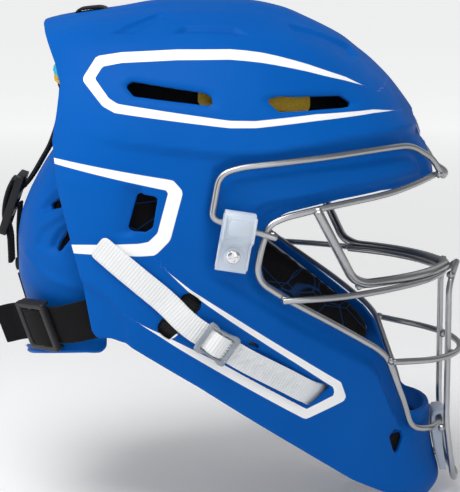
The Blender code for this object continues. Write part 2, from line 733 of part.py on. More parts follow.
# ---- straps -------------------------------------------------------------------------
STRAP_TAIL_END = (-67.0, -1.0)
STRAP_MIDDLE = (3.2, -59.6)
STRAP_FRONT_END = (63.5, -98.5)
STRAP_STRAIGHT = 23.0


def strap_at(fraction):
    """Side-view point on the strap: 0 tail end, 1 buckle, 2 front slot."""
    first, last = (STRAP_TAIL_END, STRAP_MIDDLE) if fraction < 1 else (STRAP_MIDDLE, STRAP_FRONT_END)
    part = fraction if fraction < 1 else fraction - 1
    return first[0] + (last[0] - first[0]) * part, first[1] + (last[1] - first[1]) * part


def build_chin_straps():
    white = material("White webbing", (0.78, 0.78, 0.77), 0.7)
    grey = material("Grey buckle", (0.50, 0.54, 0.58), 0.3, 0.0, 0.3)
    black = material("Black webbing", (0.014, 0.014, 0.015), 0.8)
    toward = (0.83, -0.56)
    for side in (-1, 1):
        axes = side_frame(*STRAP_MIDDLE, toward, side)
        centre = side_point(*STRAP_MIDDLE, CHIN_STRAP_LIFT, side)
        ahead = centre + axes[0] * STRAP_STRAIGHT
        behind = centre - axes[0] * STRAP_STRAIGHT
        outward = axes[2]
        tail = [side_point(*strap_at(f), 1.7, side) for f in (0.0, 0.2, 0.4, 0.58)]
        tail += [behind, centre - axes[0] * 1.0]
        tail_normals = [side_frame(*strap_at(f), toward, side)[2] for f in (0.0, 0.2, 0.4, 0.58)]
        ribbon(side_name("chin_strap_tail", side), tail, tail_normals + [outward] * 2,
               CHIN_STRAP_WIDTH, CHIN_STRAP_THICKNESS, white)
        on_wall = side_frame(*strap_at(1.85), toward, side)[2]
        front = [centre - axes[0] * 0.6, ahead, side_point(*strap_at(1.72), 1.8, side),
                 side_point(58.5, -95.3, 1.5, side), side_point(66.5, -100.3, -6.3, side),
                 side_point(76.0, -105.5, -9.5, side), Vector((91.0, side * 51.0, -110)),
                 Vector((98.0, side * 36.0, -111))]
        inner = Vector((0.75, side * 0.66, 0.05)).normalized()
        front_normals = [outward, outward, on_wall, on_wall, on_wall, inner, inner, inner]
        ribbon(side_name("chin_strap_front", side), front, front_normals,
               CHIN_STRAP_WIDTH, CHIN_STRAP_THICKNESS, white)
        slider_frame(side_name("chin_strap_slider", side), centre, axes,
                     CHIN_STRAP_WIDTH, CHIN_STRAP_THICKNESS, 22.0, 2.4, grey)
        build_keeper(side, black)


def build_keeper(side, mat):
    """Black webbing that lies in the oblong slot behind the strap, its ends inside the wall."""
    middle = (-18.7, -44.5)
    reach = (0.64, 0.77)
    stations = ((-23, -6.3), (-14, -6.0), (-8, -2.6), (8, -2.6), (14, -6.0), (23, -6.3))
    centres = []
    normals = []
    for along, out in stations:
        spot = (middle[0] + reach[0] * along, middle[1] + reach[1] * along)
        centres.append(side_point(*spot, out, side))
        normals.append(side_frame(*spot, reach, side)[2])
    ribbon(side_name("strap_keeper", side), centres, normals, 11.0, 1.4, mat)


def slider_frame(name, centre, axes, strap_width, strap_thickness, length, rail, mat):
    """Three-bar slider: two end bars over the webbing, the middle bar under it."""
    half_gap = strap_thickness / 2 + GAP
    outer = strap_width / 2 + GAP + rail
    bar = 2.4
    pieces = []
    for sign in (-1, 1):
        low = half_gap + bar
        side_box = box(name + "_rail", centre + axes[1] * sign * (outer - rail / 2), axes,
                       (length, rail, 2 * low + 0.6), mat)
        pieces.append(side_box)
        pieces.append(box(name + "_end", centre + axes[0] * sign * (length / 2 - 2.1)
                          + axes[2] * (half_gap + bar / 2), axes, (3.2, 2 * outer - rail, bar), mat))
    pieces.append(box(name + "_middle", centre - axes[2] * (half_gap + bar / 2), axes,
                      (3.6, 2 * outer - rail, bar), mat))
    whole = pieces[0]
    whole.name = name
    for extra in pieces[1:]:
        move_to_cutters(extra)
        cut(whole, extra, "UNION")
    return whole


def build_rear_elastics():
    black = material("Black elastic", (0.013, 0.013, 0.014), 0.85)
    plastic = material("Black plastic", (0.018, 0.018, 0.020), 0.45)
    brass = material("Rivet steel", (0.45, 0.45, 0.46), 0.3, 1.0)
    for side in (-1, 1):
        spot = (-100.0, -53.5)
        axes = side_frame(*spot, (-1.0, -0.10), side, plate_half_width)
        centre = side_point(*spot, 6.6, side, plate_half_width)
        near_end = centre - axes[0] * 19
        root = side_point(-48, -44, -9.5, side)
        held = side_point(-62, -46, -9.5, side)
        wall = side_frame(-55, -45, (-1, -0.1), side)[2]
        centres = [root, held, near_end, centre - axes[0] * 0.6]
        normals = [wall, wall, axes[2], axes[2]]
        ribbon(side_name("rear_elastic", side), centres, normals, ELASTIC_WIDTH, ELASTIC_THICKNESS, black)
        slider_frame(side_name("elastic_slider", side), centre, axes, ELASTIC_WIDTH,
                     ELASTIC_THICKNESS, 27.0, 3.0, plastic)
        tail = [centre + axes[0] * 0.6, centre + axes[0] * 19, centre + axes[0] * 25 + axes[2] * 2.0,
                centre + axes[0] * 31 + axes[2] * 8]
        ribbon(side_name("elastic_tail", side), tail, [axes[2]] * 4, ELASTIC_WIDTH, ELASTIC_THICKNESS, black)
        rivet = [(4.5, 1.4), (4.5, 2.6), (2.0, 2.6), (2.0, 4.6)]
        lathe(side_name("elastic_rivet", side), (root + held) / 2, wall, rivet, brass, 12)


def build_crown_strap():
    black = material("Black webbing", (0.014, 0.014, 0.015), 0.8)
    plastic = material("Black plastic", (0.018, 0.018, 0.020), 0.45)
    brass = material("Rivet steel", (0.45, 0.45, 0.46), 0.3, 1.0)

    def flat_run(name, route):
        centres = [Vector((x, 0, z)) for x, z in route]
        normals = []
        for i in range(len(centres)):
            along = centres[min(i + 1, len(centres) - 1)] - centres[max(i - 1, 0)]
            normals.append(Vector((-along.z, 0, along.x)).normalized())
        return ribbon(name, centres, normals, CROWN_STRAP_WIDTH, CROWN_STRAP_THICKNESS, black)

    over = [(-58, 121.5), (-64, 123), (-67.2, 127), (-67.9, 131), (-69.4, 133.6), (-73, 134.4),
            (-80, 133.8), (-85.8, 133.0), (-88.5, 129.8), (-88.9, 125.5), (-90.2, 122.5),
            (-92.5, 120.3)]
    flat_run("crown_strap_loop", over)
    down = [(-94.8, 116.6), (-97, 108), (-97.5, 85), (-100.2, 62), (-106.2, 46), (-111, 38), (-115.4, 30),
            (-119.2, 23.5), (-120.6, 19.5)]
    flat_run("crown_strap_run", down)
    low = [(-126.3, 8), (-127.4, -5), (-127.5, -20), (-127.0, -31), (-125.0, -41)]
    flat_run("plate_webbing", low)
    lathe("plate_rivet", (-127.2, 0, -32), (-1, 0, -0.08), [(4.2, 1.4), (4.2, 2.2), (2.6, 2.8)], brass, 14)
    top = Vector((-124.5, 0, 26))
    along = Vector((-12.5, 0, -36)).normalized()
    across = Vector((0, 1, 0))
    normal = across.cross(along).normalized()
    if normal.x > 0:
        normal = -normal
    middle = top + along * 20
    bars = []
    for sign in (-1, 1):
        bars.append(box("ladder_lock", middle + across * sign * 13.0, (along, across, normal),
                        (40, 3.4, 5.0), plastic))
    for place, depth in ((-18.4, 2.8), (-7.5, 3.4), (4.5, 2.8), (18.0, 3.2)):
        bars.append(box("ladder_lock_bar", middle + along * place, (along, across, normal),
                        (3.4, 25.4, depth), plastic))
    whole = bars[0]
    whole.name = "ladder_lock"
    for extra in bars[1:]:
        move_to_cutters(extra)
        cut(whole, extra, "UNION")
    tail = [(-129.4, 24.5), (-133.0, 18), (-135.4, 9), (-136.1, 2), (-135.6, -3), (-133.8, -8.5),
            (-132.6, -14), (-132.2, -22), (-132.0, -30)]
    flat_run("crown_strap_tail", tail)
    origin_to(bpy.data.objects["ladder_lock"], middle - along * 7.5)


def origin_to(obj, place):
    """Put the object's origin at its hinge without moving its surface."""
    place = Vector(place) * MM
    obj.data.transform(Matrix.Translation(-place))
    obj.location = place


def build_badge():
    white = material("Badge white", (0.75, 0.75, 0.75), 0.35)
    disc = lathe("brow_badge", BADGE_PLACE, BADGE_AXIS,
                 [(9.6, 0.0), (9.8, 0.6), (9.5, 1.2), (4.0, 1.4)], white, 24)
    return disc


def start_scene():
    global collection, cutter_collection
    for obj in list(bpy.data.objects):
        bpy.data.objects.remove(obj, do_unlink=True)
    collection = bpy.data.collections.new(OBJECT_NAME)
    cutter_collection = bpy.data.collections.new("cutters")
    bpy.context.scene.collection.children.link(collection)
    bpy.context.scene.collection.children.link(cutter_collection)


def main():
    start_scene()
    build_shell()
    build_back_plate()
    build_cage()
    build_side_clips()
    build_chin_clip()
    build_crown_pads()
    build_forehead_pad()
    build_jaw_pads()
    build_chin_pad()
    build_back_pad()
    build_chin_cup()
    build_chin_straps()
    build_rear_elastics()
    build_crown_strap()
    build_badge()
    origin_to(bpy.data.objects["back_plate"], SWING_AXIS)


main()
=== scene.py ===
import math
from contextlib import contextmanager

import bmesh
import bpy
import numpy as np
from mathutils import Matrix, Vector


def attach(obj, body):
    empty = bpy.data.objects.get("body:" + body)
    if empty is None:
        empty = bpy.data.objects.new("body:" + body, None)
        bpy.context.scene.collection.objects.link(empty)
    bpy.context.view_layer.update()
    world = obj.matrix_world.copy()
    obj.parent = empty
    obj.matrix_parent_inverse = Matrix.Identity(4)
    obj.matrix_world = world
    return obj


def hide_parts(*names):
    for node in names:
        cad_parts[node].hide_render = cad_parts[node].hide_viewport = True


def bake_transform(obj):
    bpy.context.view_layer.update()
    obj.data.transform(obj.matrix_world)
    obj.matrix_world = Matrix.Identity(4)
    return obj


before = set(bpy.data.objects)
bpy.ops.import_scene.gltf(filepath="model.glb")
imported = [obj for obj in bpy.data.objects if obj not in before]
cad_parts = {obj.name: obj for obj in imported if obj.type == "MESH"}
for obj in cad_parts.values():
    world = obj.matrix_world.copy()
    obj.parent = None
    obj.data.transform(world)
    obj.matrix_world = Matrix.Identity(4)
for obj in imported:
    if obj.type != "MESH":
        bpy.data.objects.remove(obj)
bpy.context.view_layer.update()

MM = 0.001
SIDES = (("_right", -1), ("_left", 1))

# Stock and wall sizes in mm; a webbing is (width, thickness)
SHELL_WALL = 3.5
PLATE_WALL = 3.0
RIM = 0.9
WIRE_RADIUS = 2.0
BAR_RADIUS = 2.9
CHIN_WEB = (15.0, 1.6)
ELASTIC_WEB = (25.0, 2.0)
CROWN_WEB_WIDTH = 20.0

# ---------------------------------------------------------------- the moulded forms
# Shell cross-sections from the crown down: height, front, back, widest x, half width
SHELL_LEVELS = np.array((
    (139.4, 0.0, -3.0, -1.0, 0.0),
    (138.0, 22.0, -36.0, -5.0, 20.0),
    (134.0, 42.0, -61.0, -10.0, 39.0),
    (127.0, 59.0, -104.0, -14.0, 56.0),
    (115.7, 81.0, -127.0, -18.0, 74.0),
    (100.0, 102.0, -134.0, -20.0, 88.0),
    (82.6, 117.0, -141.0, -22.0, 98.0),
    (60.0, 130.0, -146.0, -24.0, 106.0),
    (30.0, 140.0, -149.0, -26.0, 111.0),
    (0.0, 141.0, -150.0, -30.0, 113.0),
    (-40.0, 140.5, -150.0, -36.0, 111.0),
    (-80.0, 140.0, -150.0, -42.0, 106.0),
    (-120.0, 139.0, -150.0, -45.0, 98.0),
    (-150.0, 142.5, -150.0, -45.0, 90.0),
    (-170.0, 147.3, -150.0, -45.0, 84.0),
    (-185.0, 139.0, -150.0, -45.0, 78.0),
))
SHELL_POWER = 2.15
PLATE_LEVELS = np.array((
    (52.0, -98.0, 78.0),
    (40.0, -106.5, 82.0),
    (29.0, -113.0, 85.0),
    (17.0, -119.0, 87.5),
    (4.0, -123.5, 89.0),
    (-11.0, -125.5, 89.5),
    (-28.0, -125.5, 89.5),
    (-46.0, -121.5, 88.0),
    (-66.0, -114.0, 85.0),
    (-76.0, -114.5, 84.5),
    (-83.0, -118.0, 86.0),
    (-88.0, -121.5, 88.0),
))
PLATE_POWER = 2.8
PLATE_CENTRE_X = -50.0

# Side-view outlines (x, z) of the shell's edges, vents and slots
REAR_EDGE = (
    (-112, 150), (-110.5, 131), (-103, 118), (-95.5, 103), (-92, 92), (-93.5, 76), (-96, 59),
    (-92.5, 31), (-84, -1), (-77, -27), (-72, -55), (-69, -59), (-60, -59), (-51, -62),
)
BOTTOM_EDGE = ((-7, -90), (55, -134), (88, -158), (108, -169), (134, -181), (160, -181))
FACE_OPENING = (
    (220, 26), (104, 26), (77, 23), (46, 17), (38, 13), (33, -1), (30, -15), (33, -25),
    (45, -33), (72, -52), (101, -72), (108, -80), (120, -113), (127, -121), (220, -122),
)
HOLES = (
    (((-51, 92), (-47, 94.5), (-4, 88), (0, 86), (1.5, 81), (-46, 86.5)), 1.5),
    (((33, 84), (41, 85.5), (78, 84.5), (86, 79), (80, 78), (41, 77)), 1.2),
    (((-43, 30), (-31, 28), (-34, 10), (-38, 7), (-49, 8)), 2.2),
    (((23, -61.3), (25, -61), (28.8, -64), (28, -66.3), (23, -63.3)), 0.6),
    (((72.6, -94.2), (64.5, -87.4), (51, -99.5), (59.4, -104.8)), 1.2),
    (((-12, -30), (-5.5, -35), (-6, -39.5), (-21.5, -58), (-25.5, -59), (-31.5, -54), (-31.5, -49.5),
      (-16, -31)), 2.0),
    (((112, -133), (115, -129), (120, -131), (121, -135), (116, -147)), 1.2),
)

# White stripes: centre line (x, z) with half width
STRIPES = (
    ((92, 89.5, 0), (81, 94, 1.0), (68, 98, 1.6), (58, 101.2, 2.0), (49, 103.6, 2.3), (39, 106, 2.6),
     (30, 107.8, 2.8), (21, 109, 2.9), (11, 109.9, 2.9),
     (-21, 109.8, 3.0), (-54, 108.0, 3.0), (-67.5, 105.6, 3.2), (-73.8, 95.5, 3.3), (-62.8, 82.6, 2.9),
     (-56.5, 79.2, 2.7), (11.5, 70.2, 2.1), (27, 69.9, 2.0), (63, 72.8, 1.9), (98.5, 74.2, 1.0), (112, 73.2, 0)),
    ((-100, 48.6, 1.5), (-96, 47.6, 1.6), (-23.5, 34.8, 3.3), (-20.6, 30.2, 4.2), (-27.5, 4.4, 4.2),
     (-34.5, -2.6, 4.3), (-42, -3.6, 3.8), (-88, -4.6, 2.4)),
    ((-25, -17, 0), (-12, -28.8, 0.9), (12, -45.8, 1.6), (54, -75.6, 2.1), (77.3, -92.8, 2.6),
     (79.3, -101.2, 3.4), (58, -110.4, 3.0), (8, -78.6, 2.8), (-18, -63.2, 1.7), (-42, -49, 0)),
)
BAND = (
    (139, 20), (137, 32), (133, 44), (128, 52), (119, 57), (96, 56.5), (69, 54.5), (43, 52.5), (14, 50.5),
    (2, 46), (-3, 18), (-5, -14), (-1, -22), (13, -29.5), (30, -41), (55, -57), (98, -84),
    (104, -91), (117, -126), (124, -139), (170, -141),
)
CREASE = ((-74, 63), (-54, 58), (10, 51.5), (31, 51.5), (84, 58.5), (116, 60), (150, 60))
EAR_SCOOP = ((-60, 5), (-55, 35), (-40, 32), (-46, 5))
STRAP_CHANNEL = (
    (6, -70), (24, -84.6), (36, -92.6), (48, -100.6), (58, -107), (70, -100), (74, -97), (75, -95), (73, -93),
    (57, -84), (45, -76), (33, -69), (27, -66.5), (14, -62),
)
PLATEAU = (
    (11, 35), (12, 39), (53, 43), (104, 45), (124, 46), (129, 43), (133, 33), (104, 29), (35, 23), (29, 20),
    (28, 15), (19, 13), (13, 18),
)
FACET = ((-90, -17), (-66, -30), (-60, -35), (-51, -48), (-47, -75), (-90, -75))
CROWN_DENTS = (
    ((-60, 60), (-34, 41), (-26, 48), (-46, 64)),
    ((-23, 65), (-17, 59), (14, 57), (22, 63)),
    ((46, 38), (85, 22), (89, 29), (85, 40), (55, 50)),
)
CROWN_SLOTS = (-68.2, -88.6)
BADGE_PLACE = Vector((129.65, 0.0, 59.7))
BADGE_AXIS = Vector((0.93, 0.0, 0.36)).normalized()

# Cushions in the side view
JAW_CUSHION = (
    (-56, 36), (-20, 36), (-8, 8), (24.5, 1), (27.5, -17), (29.5, -24), (41.5, -32), (64.5, -48.5), (87.5, -65),
    (99, -74), (107.5, -86), (105.5, -96), (84, -96), (66, -88), (40, -79), (0, -67), (-37, -54),
    (-41, -20), (-56, -5),
)
JAW_FOAM = (
    (-30, -3), (22, -2), (25, -17), (27, -25.5), (40, -35), (63, -51.5), (86, -68), (96.5, -76.5), (103.5, -86),
    (101, -92), (84, -93), (66, -86), (40, -77), (0, -65), (-36, -52), (-38, -20),
)

# Back plate: lower edge, vents and scoops in the side view
HEM_RISE = 17.0
HEM_START = -50.0
HEM_LOW = 88.0
PLATE_VENTS = (
    ((-101.2, 15.6), (-100.6, 18), (-94.5, 23.4), (-85, 29), (-83.5, 24), (-93, 17.2)),
    ((-96.6, -9.2), (-95.4, -4.2), (-90.5, 2.2), (-79, 10.5), (-80, 4), (-88.5, -2.5), (-94, -9.4)),
)
PLATE_SCOOPS = (
    (((-107.5, 13), (-104, 19), (-97, 26.5), (-86, 34.5), (-74, 39), (-74, 24), (-84, 20), (-93, 15.8),
      (-102.5, 12.0)), 3.2),
    (((-101.5, -8.5), (-99.5, -2), (-95, 3.8), (-88, 9), (-74, 17), (-70, 5), (-80, 2), (-86.5, -3.5),
      (-92.4, -11), (-96.3, -11.6)), 2.8),
    (((-110.6, -9), (-106, 3), (-97, 9.5), (-90, 13), (-70, 19), (-55, 19), (-55, -30), (-83, -19),
      (-96, -13.5)), 1.7),
)
PLATE_RIDGE = ((-116, -14), (-108, -22), (-100, -27), (-86, -30.5), (-60, -31))


def smooth_curve(stations, values, at):
    """Shape-preserving cubic through the stations."""
    stations = np.asarray(stations, float)
    values = np.asarray(values, float)
    step = np.diff(stations)
    slope = np.diff(values) / step
    tangent = np.zeros_like(values)
    tangent[0] = slope[0]
    tangent[-1] = slope[-1]
    for i in range(1, len(values) - 1):
        if slope[i - 1] * slope[i] > 0:
            before = 2 * step[i] + step[i - 1]
            after = step[i] + 2 * step[i - 1]
            tangent[i] = (before + after) / (before / slope[i - 1] + after / slope[i])
    at = np.clip(at, stations[0], stations[-1])
    cell = np.clip(np.searchsorted(stations, at, side="right") - 1, 0, len(step) - 1)
    s = (at - stations[cell]) / step[cell]
    h = step[cell]
    return ((2 * s**3 - 3 * s**2 + 1) * values[cell] + (s**3 - 2 * s**2 + s) * h * tangent[cell]
            + (3 * s**2 - 2 * s**3) * values[cell + 1] + (s**3 - s**2) * h * tangent[cell + 1])


def head_axis(base):
    """For each point, one inside the shell that it faces away from."""
    return np.stack([0 * base[..., 0] - 10, 0 * base[..., 0], np.minimum(base[..., 2], 40)], -1)


def signed_power(value, power):
    return np.sign(value) * np.abs(value) ** power


def shell_section(level):
    index = np.arange(len(SHELL_LEVELS))
    return [smooth_curve(index, SHELL_LEVELS[:, c], level) for c in range(5)]


def shell_point(level, angle):
    z, front, back, middle, width = shell_section(level)
    along = signed_power(np.cos(angle), 2 / SHELL_POWER)
    across = signed_power(np.sin(angle), 2 / SHELL_POWER)
    reach = np.where(along >= 0, front - middle, middle - back)
    return np.stack([middle + reach * along, width * across, z + 0 * angle], -1)


FINE = shell_section(np.linspace(0, 15, 1501))
FINE_ORDER = np.argsort(FINE[0])


def shell_half_width(x, z):
    front, back, middle, width = (np.interp(z, FINE[0][FINE_ORDER], FINE[c][FINE_ORDER]) for c in (1, 2, 3, 4))
    reach = np.where(x >= middle, (x - middle) / (front - middle), (middle - x) / (middle - back))
    reach = np.minimum(np.abs(reach), 0.9995)
    return width * (1 - reach**SHELL_POWER) ** (1 / SHELL_POWER)


def plate_section(z):
    """Rearmost x and half width of the back plate at a height."""
    drop = -np.asarray(z, float)
    return [smooth_curve(-PLATE_LEVELS[:, 0], PLATE_LEVELS[:, c], drop) for c in (1, 2)]


def plate_row(z, inset, edge, columns):
    """Points around the back plate's section, from the turn 'edge' to the same on the other side."""
    back, width = plate_section(z)
    turn = np.linspace(edge, math.pi - edge, columns)
    along = np.abs(np.sin(turn)) ** (2 / PLATE_POWER)
    across = signed_power(np.cos(turn), 2 / PLATE_POWER)
    reach = PLATE_CENTRE_X - (back + inset)
    return np.stack([PLATE_CENTRE_X - reach * along, (width - inset) * across, z + 0 * turn], -1)


def plate_half_width(x, z):
    back, width = plate_section(z)
    reach = np.clip((PLATE_CENTRE_X - x) / (PLATE_CENTRE_X - back), 0, 0.9995)
    return width * (1 - reach**PLATE_POWER) ** (1 / PLATE_POWER)


def side_normal(x, z, half_width=shell_half_width):
    e = 1.0
    dx = (half_width(x + e, z) - half_width(x - e, z)) / (2 * e)
    dz = (half_width(x, z + e) - half_width(x, z - e)) / (2 * e)
    return dx, dz, Vector((-float(dx), 1.0, -float(dz))).normalized()


def side_point(x, z, out, side, half_width=shell_half_width):
    """Point 'out' beyond a surface along its normal; side is -1 (right) or +1 (left)."""
    normal = side_normal(x, z, half_width)[2]
    point = Vector((x, float(half_width(x, z)), z)) + normal * out
    return Vector((point.x, side * point.y, point.z))


def side_frame(x, z, toward, side, half_width=shell_half_width):
    """Axes on the surface: along 'toward' (dx, dz), across, outward."""
    dx, dz, normal = side_normal(x, z, half_width)
    along = Vector((toward[0], float(dx) * toward[0] + float(dz) * toward[1], toward[1])).normalized()
    across = normal.cross(along).normalized()
    axes = [Vector((v.x, side * v.y, v.z)) for v in (along, across, normal)]
    if side < 0:
        axes[1] = -axes[1]
    return axes


# ---------------------------------------------------------------- distances in a plane
def outline_distance(x, y, outline):
    """Signed distance to a closed outline, negative inside."""
    points = np.asarray(outline, float)
    best = np.full(x.shape, 1e9)
    inside = np.zeros(x.shape, bool)
    for (ax, ay), (bx, by) in zip(points, np.roll(points, -1, axis=0)):
        ex, ey = bx - ax, by - ay
        t = np.clip(((x - ax) * ex + (y - ay) * ey) / (ex * ex + ey * ey), 0, 1)
        best = np.minimum(best, np.hypot(x - ax - t * ex, y - ay - t * ey))
        crosses = (ay > y) != (by > y)
        with np.errstate(divide="ignore", invalid="ignore"):
            inside ^= crosses & (x < ex * (y - ay) / (ey if ey else 1e-12) + ax)
    return np.where(inside, -best, best)


def shrunk(outline, amount):
    """Outline with every edge moved inward by an amount."""
    points = [Vector(p) for p in outline]
    area = sum(a.x * b.y - b.x * a.y for a, b in zip(points, points[1:] + points[:1]))
    turn = 1 if area > 0 else -1
    result = []
    for i, here in enumerate(points):
        first = (here - points[i - 1]).normalized()
        second = (points[(i + 1) % len(points)] - here).normalized()
        bisector = Vector((-(first.y + second.y), first.x + second.x)) * turn
        if bisector.length < 1e-6:
            result.append(tuple(here))
            continue
        bisector.normalize()
        reach = amount / max(0.35, bisector.dot(Vector((-first.y, first.x)) * turn))
        result.append(tuple(here + bisector * reach))
    return result


def rounded_distance(x, y, outline, radius):
    return outline_distance(x, y, shrunk(outline, radius)) - radius


def path_distance(x, y, path):
    """Signed distance to an open path, and the path's own width at the nearest point."""
    points = np.asarray(path, float)
    best = np.full(x.shape, 1e9)
    signed = np.full(x.shape, 1e9)
    width = np.zeros(x.shape)
    for a, b in zip(points[:-1], points[1:]):
        ex, ey = b[0] - a[0], b[1] - a[1]
        length = math.hypot(ex, ey)
        t = np.clip(((x - a[0]) * ex + (y - a[1]) * ey) / length**2, 0, 1)
        gap = np.hypot(x - a[0] - t * ex, y - a[1] - t * ey)
        side = ((x - a[0]) * ey - (y - a[1]) * ex) / length
        score = gap - 1e-4 * np.abs(side)
        nearer = score < best
        best = np.where(nearer, score, best)
        signed = np.where(nearer, np.where(side >= 0, gap, -gap), signed)
        if points.shape[1] > 2:
            width = np.where(nearer, a[2] + (b[2] - a[2]) * t, width)
    return signed, width


def ramp(value, low, high):
    t = np.clip((value - low) / (high - low), 0, 1)
    return t * t * (3 - 2 * t)


def shell_relief(x, y, z):
    """How far the moulding's details move the surface out (positive) or in (negative)."""
    side_y = np.abs(y)
    # sunken band beside the face opening, shallower at the chin, and the swell above the chin
    chin = 1 - 0.9 * ramp(-z, 108, 118) * ramp(x, 118, 130)
    out = -3.0 * ramp(-outline_distance(x, z, BAND), -0.4, 3.4) * ramp(x, -8, 4) * chin
    out += 1.6 * ramp(x, 118, 132) * np.exp(-((z + 127) / 9) ** 2)
    # step up along the crease, fading toward the crown
    above = -path_distance(x, z, CREASE)[0]
    crest = ramp(above, -1.3, 1.3) * np.exp(-np.clip(above, 0, 99) / 14)
    out += 2.9 * crest * ramp(x, -95, -20) * ramp(-z, -99, -90)
    # raised and sunken panels on the side
    out += 1.9 * ramp(-rounded_distance(x, z, PLATEAU, 2), -0.3, 1.9)
    scoop = -rounded_distance(x, z, EAR_SCOOP, 3)
    out -= 4.2 * ramp(scoop, -1.2, 1.8) * ramp(x - 0.12 * z, -61, -43)
    out -= 2.3 * ramp(-outline_distance(x, z, FACET), -0.5, 3)
    out -= 1.9 * ramp(-outline_distance(x, z, STRAP_CHANNEL), -0.2, 1.5)
    # dished edges of the vents
    for hole, depth, soft in ((0, 1.5, 3.4), (1, 1.3, 3.0), (5, 0.8, 2.0), (3, 0.8, 2.0), (6, 0.8, 2.4)):
        out -= depth * ramp(-outline_distance(x, z, HOLES[hole][0]), -soft, 0.2)
    # step down at the face opening's rim
    step = outline_distance(x, z, FACE_OPENING)
    out -= 1.9 * ramp(-step, -7.4, -6.2) * ramp(x, 10, 30) * ramp(-x, -137, -126)
    # hollows beside the brow's prow, and the badge's seat
    prow = np.exp(-((z - 60) / 13) ** 2) * ramp(x, 60, 90)
    out -= 2.6 * prow * ramp(side_y, 1, 13) * ramp(-side_y, -46, -16)
    seat = np.hypot(y / 10.4, (z - 60) / 9.8)
    out -= 1.9 * ramp(-seat, -1.03, -0.95) * ramp(x, 90, 100)
    # dents and the broad ridge on the crown
    top = ramp(z, 88, 100)
    for outline in CROWN_DENTS:
        out -= 2.2 * top * ramp(-outline_distance(x, side_y, outline), -0.8, 1.6)
    out += 0.9 * ramp(-side_y, -28, -19) * ramp(z, 84, 104) * ramp(-x, -92, -80)
    return out


def shell_keep(x, y, z):
    """Positive on the moulding, negative beyond its edges and in its openings."""
    behind = list(REAR_EDGE) + list(BOTTOM_EDGE) + [(260, -260), (-260, -260), (-260, 150)]
    keep = rounded_distance(x, z, behind, 2.0)
    keep = np.minimum(keep, rounded_distance(x, z, FACE_OPENING, 4.0))
    for outline, radius in HOLES:
        keep = np.minimum(keep, rounded_distance(x, z, outline, radius))
    for centre in CROWN_SLOTS:
        gap = np.maximum(np.abs(x - centre) - 2.6, np.abs(y) - 11.0)
        keep = np.minimum(keep, np.where(z > 110, gap, 99))
    return keep


# ---------------------------------------------------------------- mesh building
def linked(name, data):
    obj = bpy.data.objects.new(name, data)
    bpy.context.scene.collection.objects.link(obj)
    return obj


@contextmanager
def edited(mesh):
    """The mesh opened for editing, and written back at the end."""
    work = bmesh.new()
    work.from_mesh(mesh)
    yield work
    work.to_mesh(mesh)
    work.free()


def new_object(name, verts, faces, mat, smooth=True, attributes=None):
    mesh = bpy.data.meshes.new(name)
    mesh.from_pydata((np.asarray(verts, float) * MM).tolist(), [], [list(f) for f in faces])
    mesh.polygons.foreach_set("use_smooth", [smooth] * len(mesh.polygons))
    for key, values in (attributes or {}).items():
        mesh.attributes.new(key, "FLOAT", "POINT").data.foreach_set("value", np.asarray(values, np.float32))
    if mat:
        mesh.materials.append(mat)
    mesh.update()
    return linked(name, mesh)


def outward(obj):
    with edited(obj.data) as work:
        bmesh.ops.recalc_face_normals(work, faces=work.faces)
    return obj


def grid_faces(rows, columns, wrap=False):
    r, c = np.meshgrid(np.arange(rows - 1), np.arange(columns if wrap else columns - 1), indexing="ij")
    d = (c + 1) % columns
    here, after = r * columns, (r + 1) * columns
    return np.stack([here + c, here + d, after + d, after + c], -1).reshape(-1, 4)


def grid_normals(points):
    """Normals of a grid of points, by differences along its rows and columns."""
    a = np.gradient(points, axis=0)
    b = np.gradient(points, axis=1)
    normal = np.cross(a, b)
    return normal / np.maximum(np.linalg.norm(normal, axis=-1, keepdims=True), 1e-9)


def facing(normal, direction):
    """Normals turned to the same side as a direction."""
    return normal * np.sign((normal * direction).sum(-1, keepdims=True))


def clip_sheet(points, normals, faces, keep):
    """Cut a sheet of quads along keep = 0, moving close corners onto the cut first."""
    points = points.copy()
    keep = keep.copy()
    edges = np.concatenate([faces[:, [i, (i + 1) % 4]] for i in range(4)])
    edges = np.unique(np.sort(edges, axis=1), axis=0)
    a, b = edges[:, 0], edges[:, 1]
    mixed = keep[a] * keep[b] < 0
    a, b = a[mixed], b[mixed]
    t = keep[a] / (keep[a] - keep[b])
    start = points.copy()
    for near, far, share in ((a, b, t), (b, a, 1 - t)):
        close = share < 0.28
        part = share[close, None]
        points[near[close]] = start[near[close]] * (1 - part) + start[far[close]] * part
        keep[near[close]] = 0.0
    value = keep[faces]
    whole = (value >= 0).all(1) & (value > 0).any(1)
    part = ~whole & (value > 0).any(1)
    verts = list(points)
    norms = list(normals)
    made = {}

    def crossing(p, q):
        key = (min(p, q), max(p, q))
        if key not in made:
            s = keep[p] / (keep[p] - keep[q])
            verts.append(points[p] * (1 - s) + points[q] * s)
            norms.append(normals[p] * (1 - s) + normals[q] * s)
            made[key] = len(verts) - 1
        return made[key]

    result = faces[whole].tolist()
    for face in faces[part]:
        piece = []
        for i in range(4):
            p, q = int(face[i]), int(face[(i + 1) % 4])
            if keep[p] >= 0:
                piece.append(p)
            if keep[p] * keep[q] < 0:
                piece.append(crossing(p, q))
        if len(piece) > 2:
            result.append(piece)
    verts = np.array(verts)
    norms = np.array(norms)
    used = np.unique(np.concatenate([np.array(f) for f in result]))
    remap = np.full(len(verts), -1)
    remap[used] = np.arange(len(used))
    norms = norms[used] / np.maximum(np.linalg.norm(norms[used], axis=1, keepdims=True), 1e-9)
    return verts[used], norms, [[int(remap[v]) for v in f] for f in result]


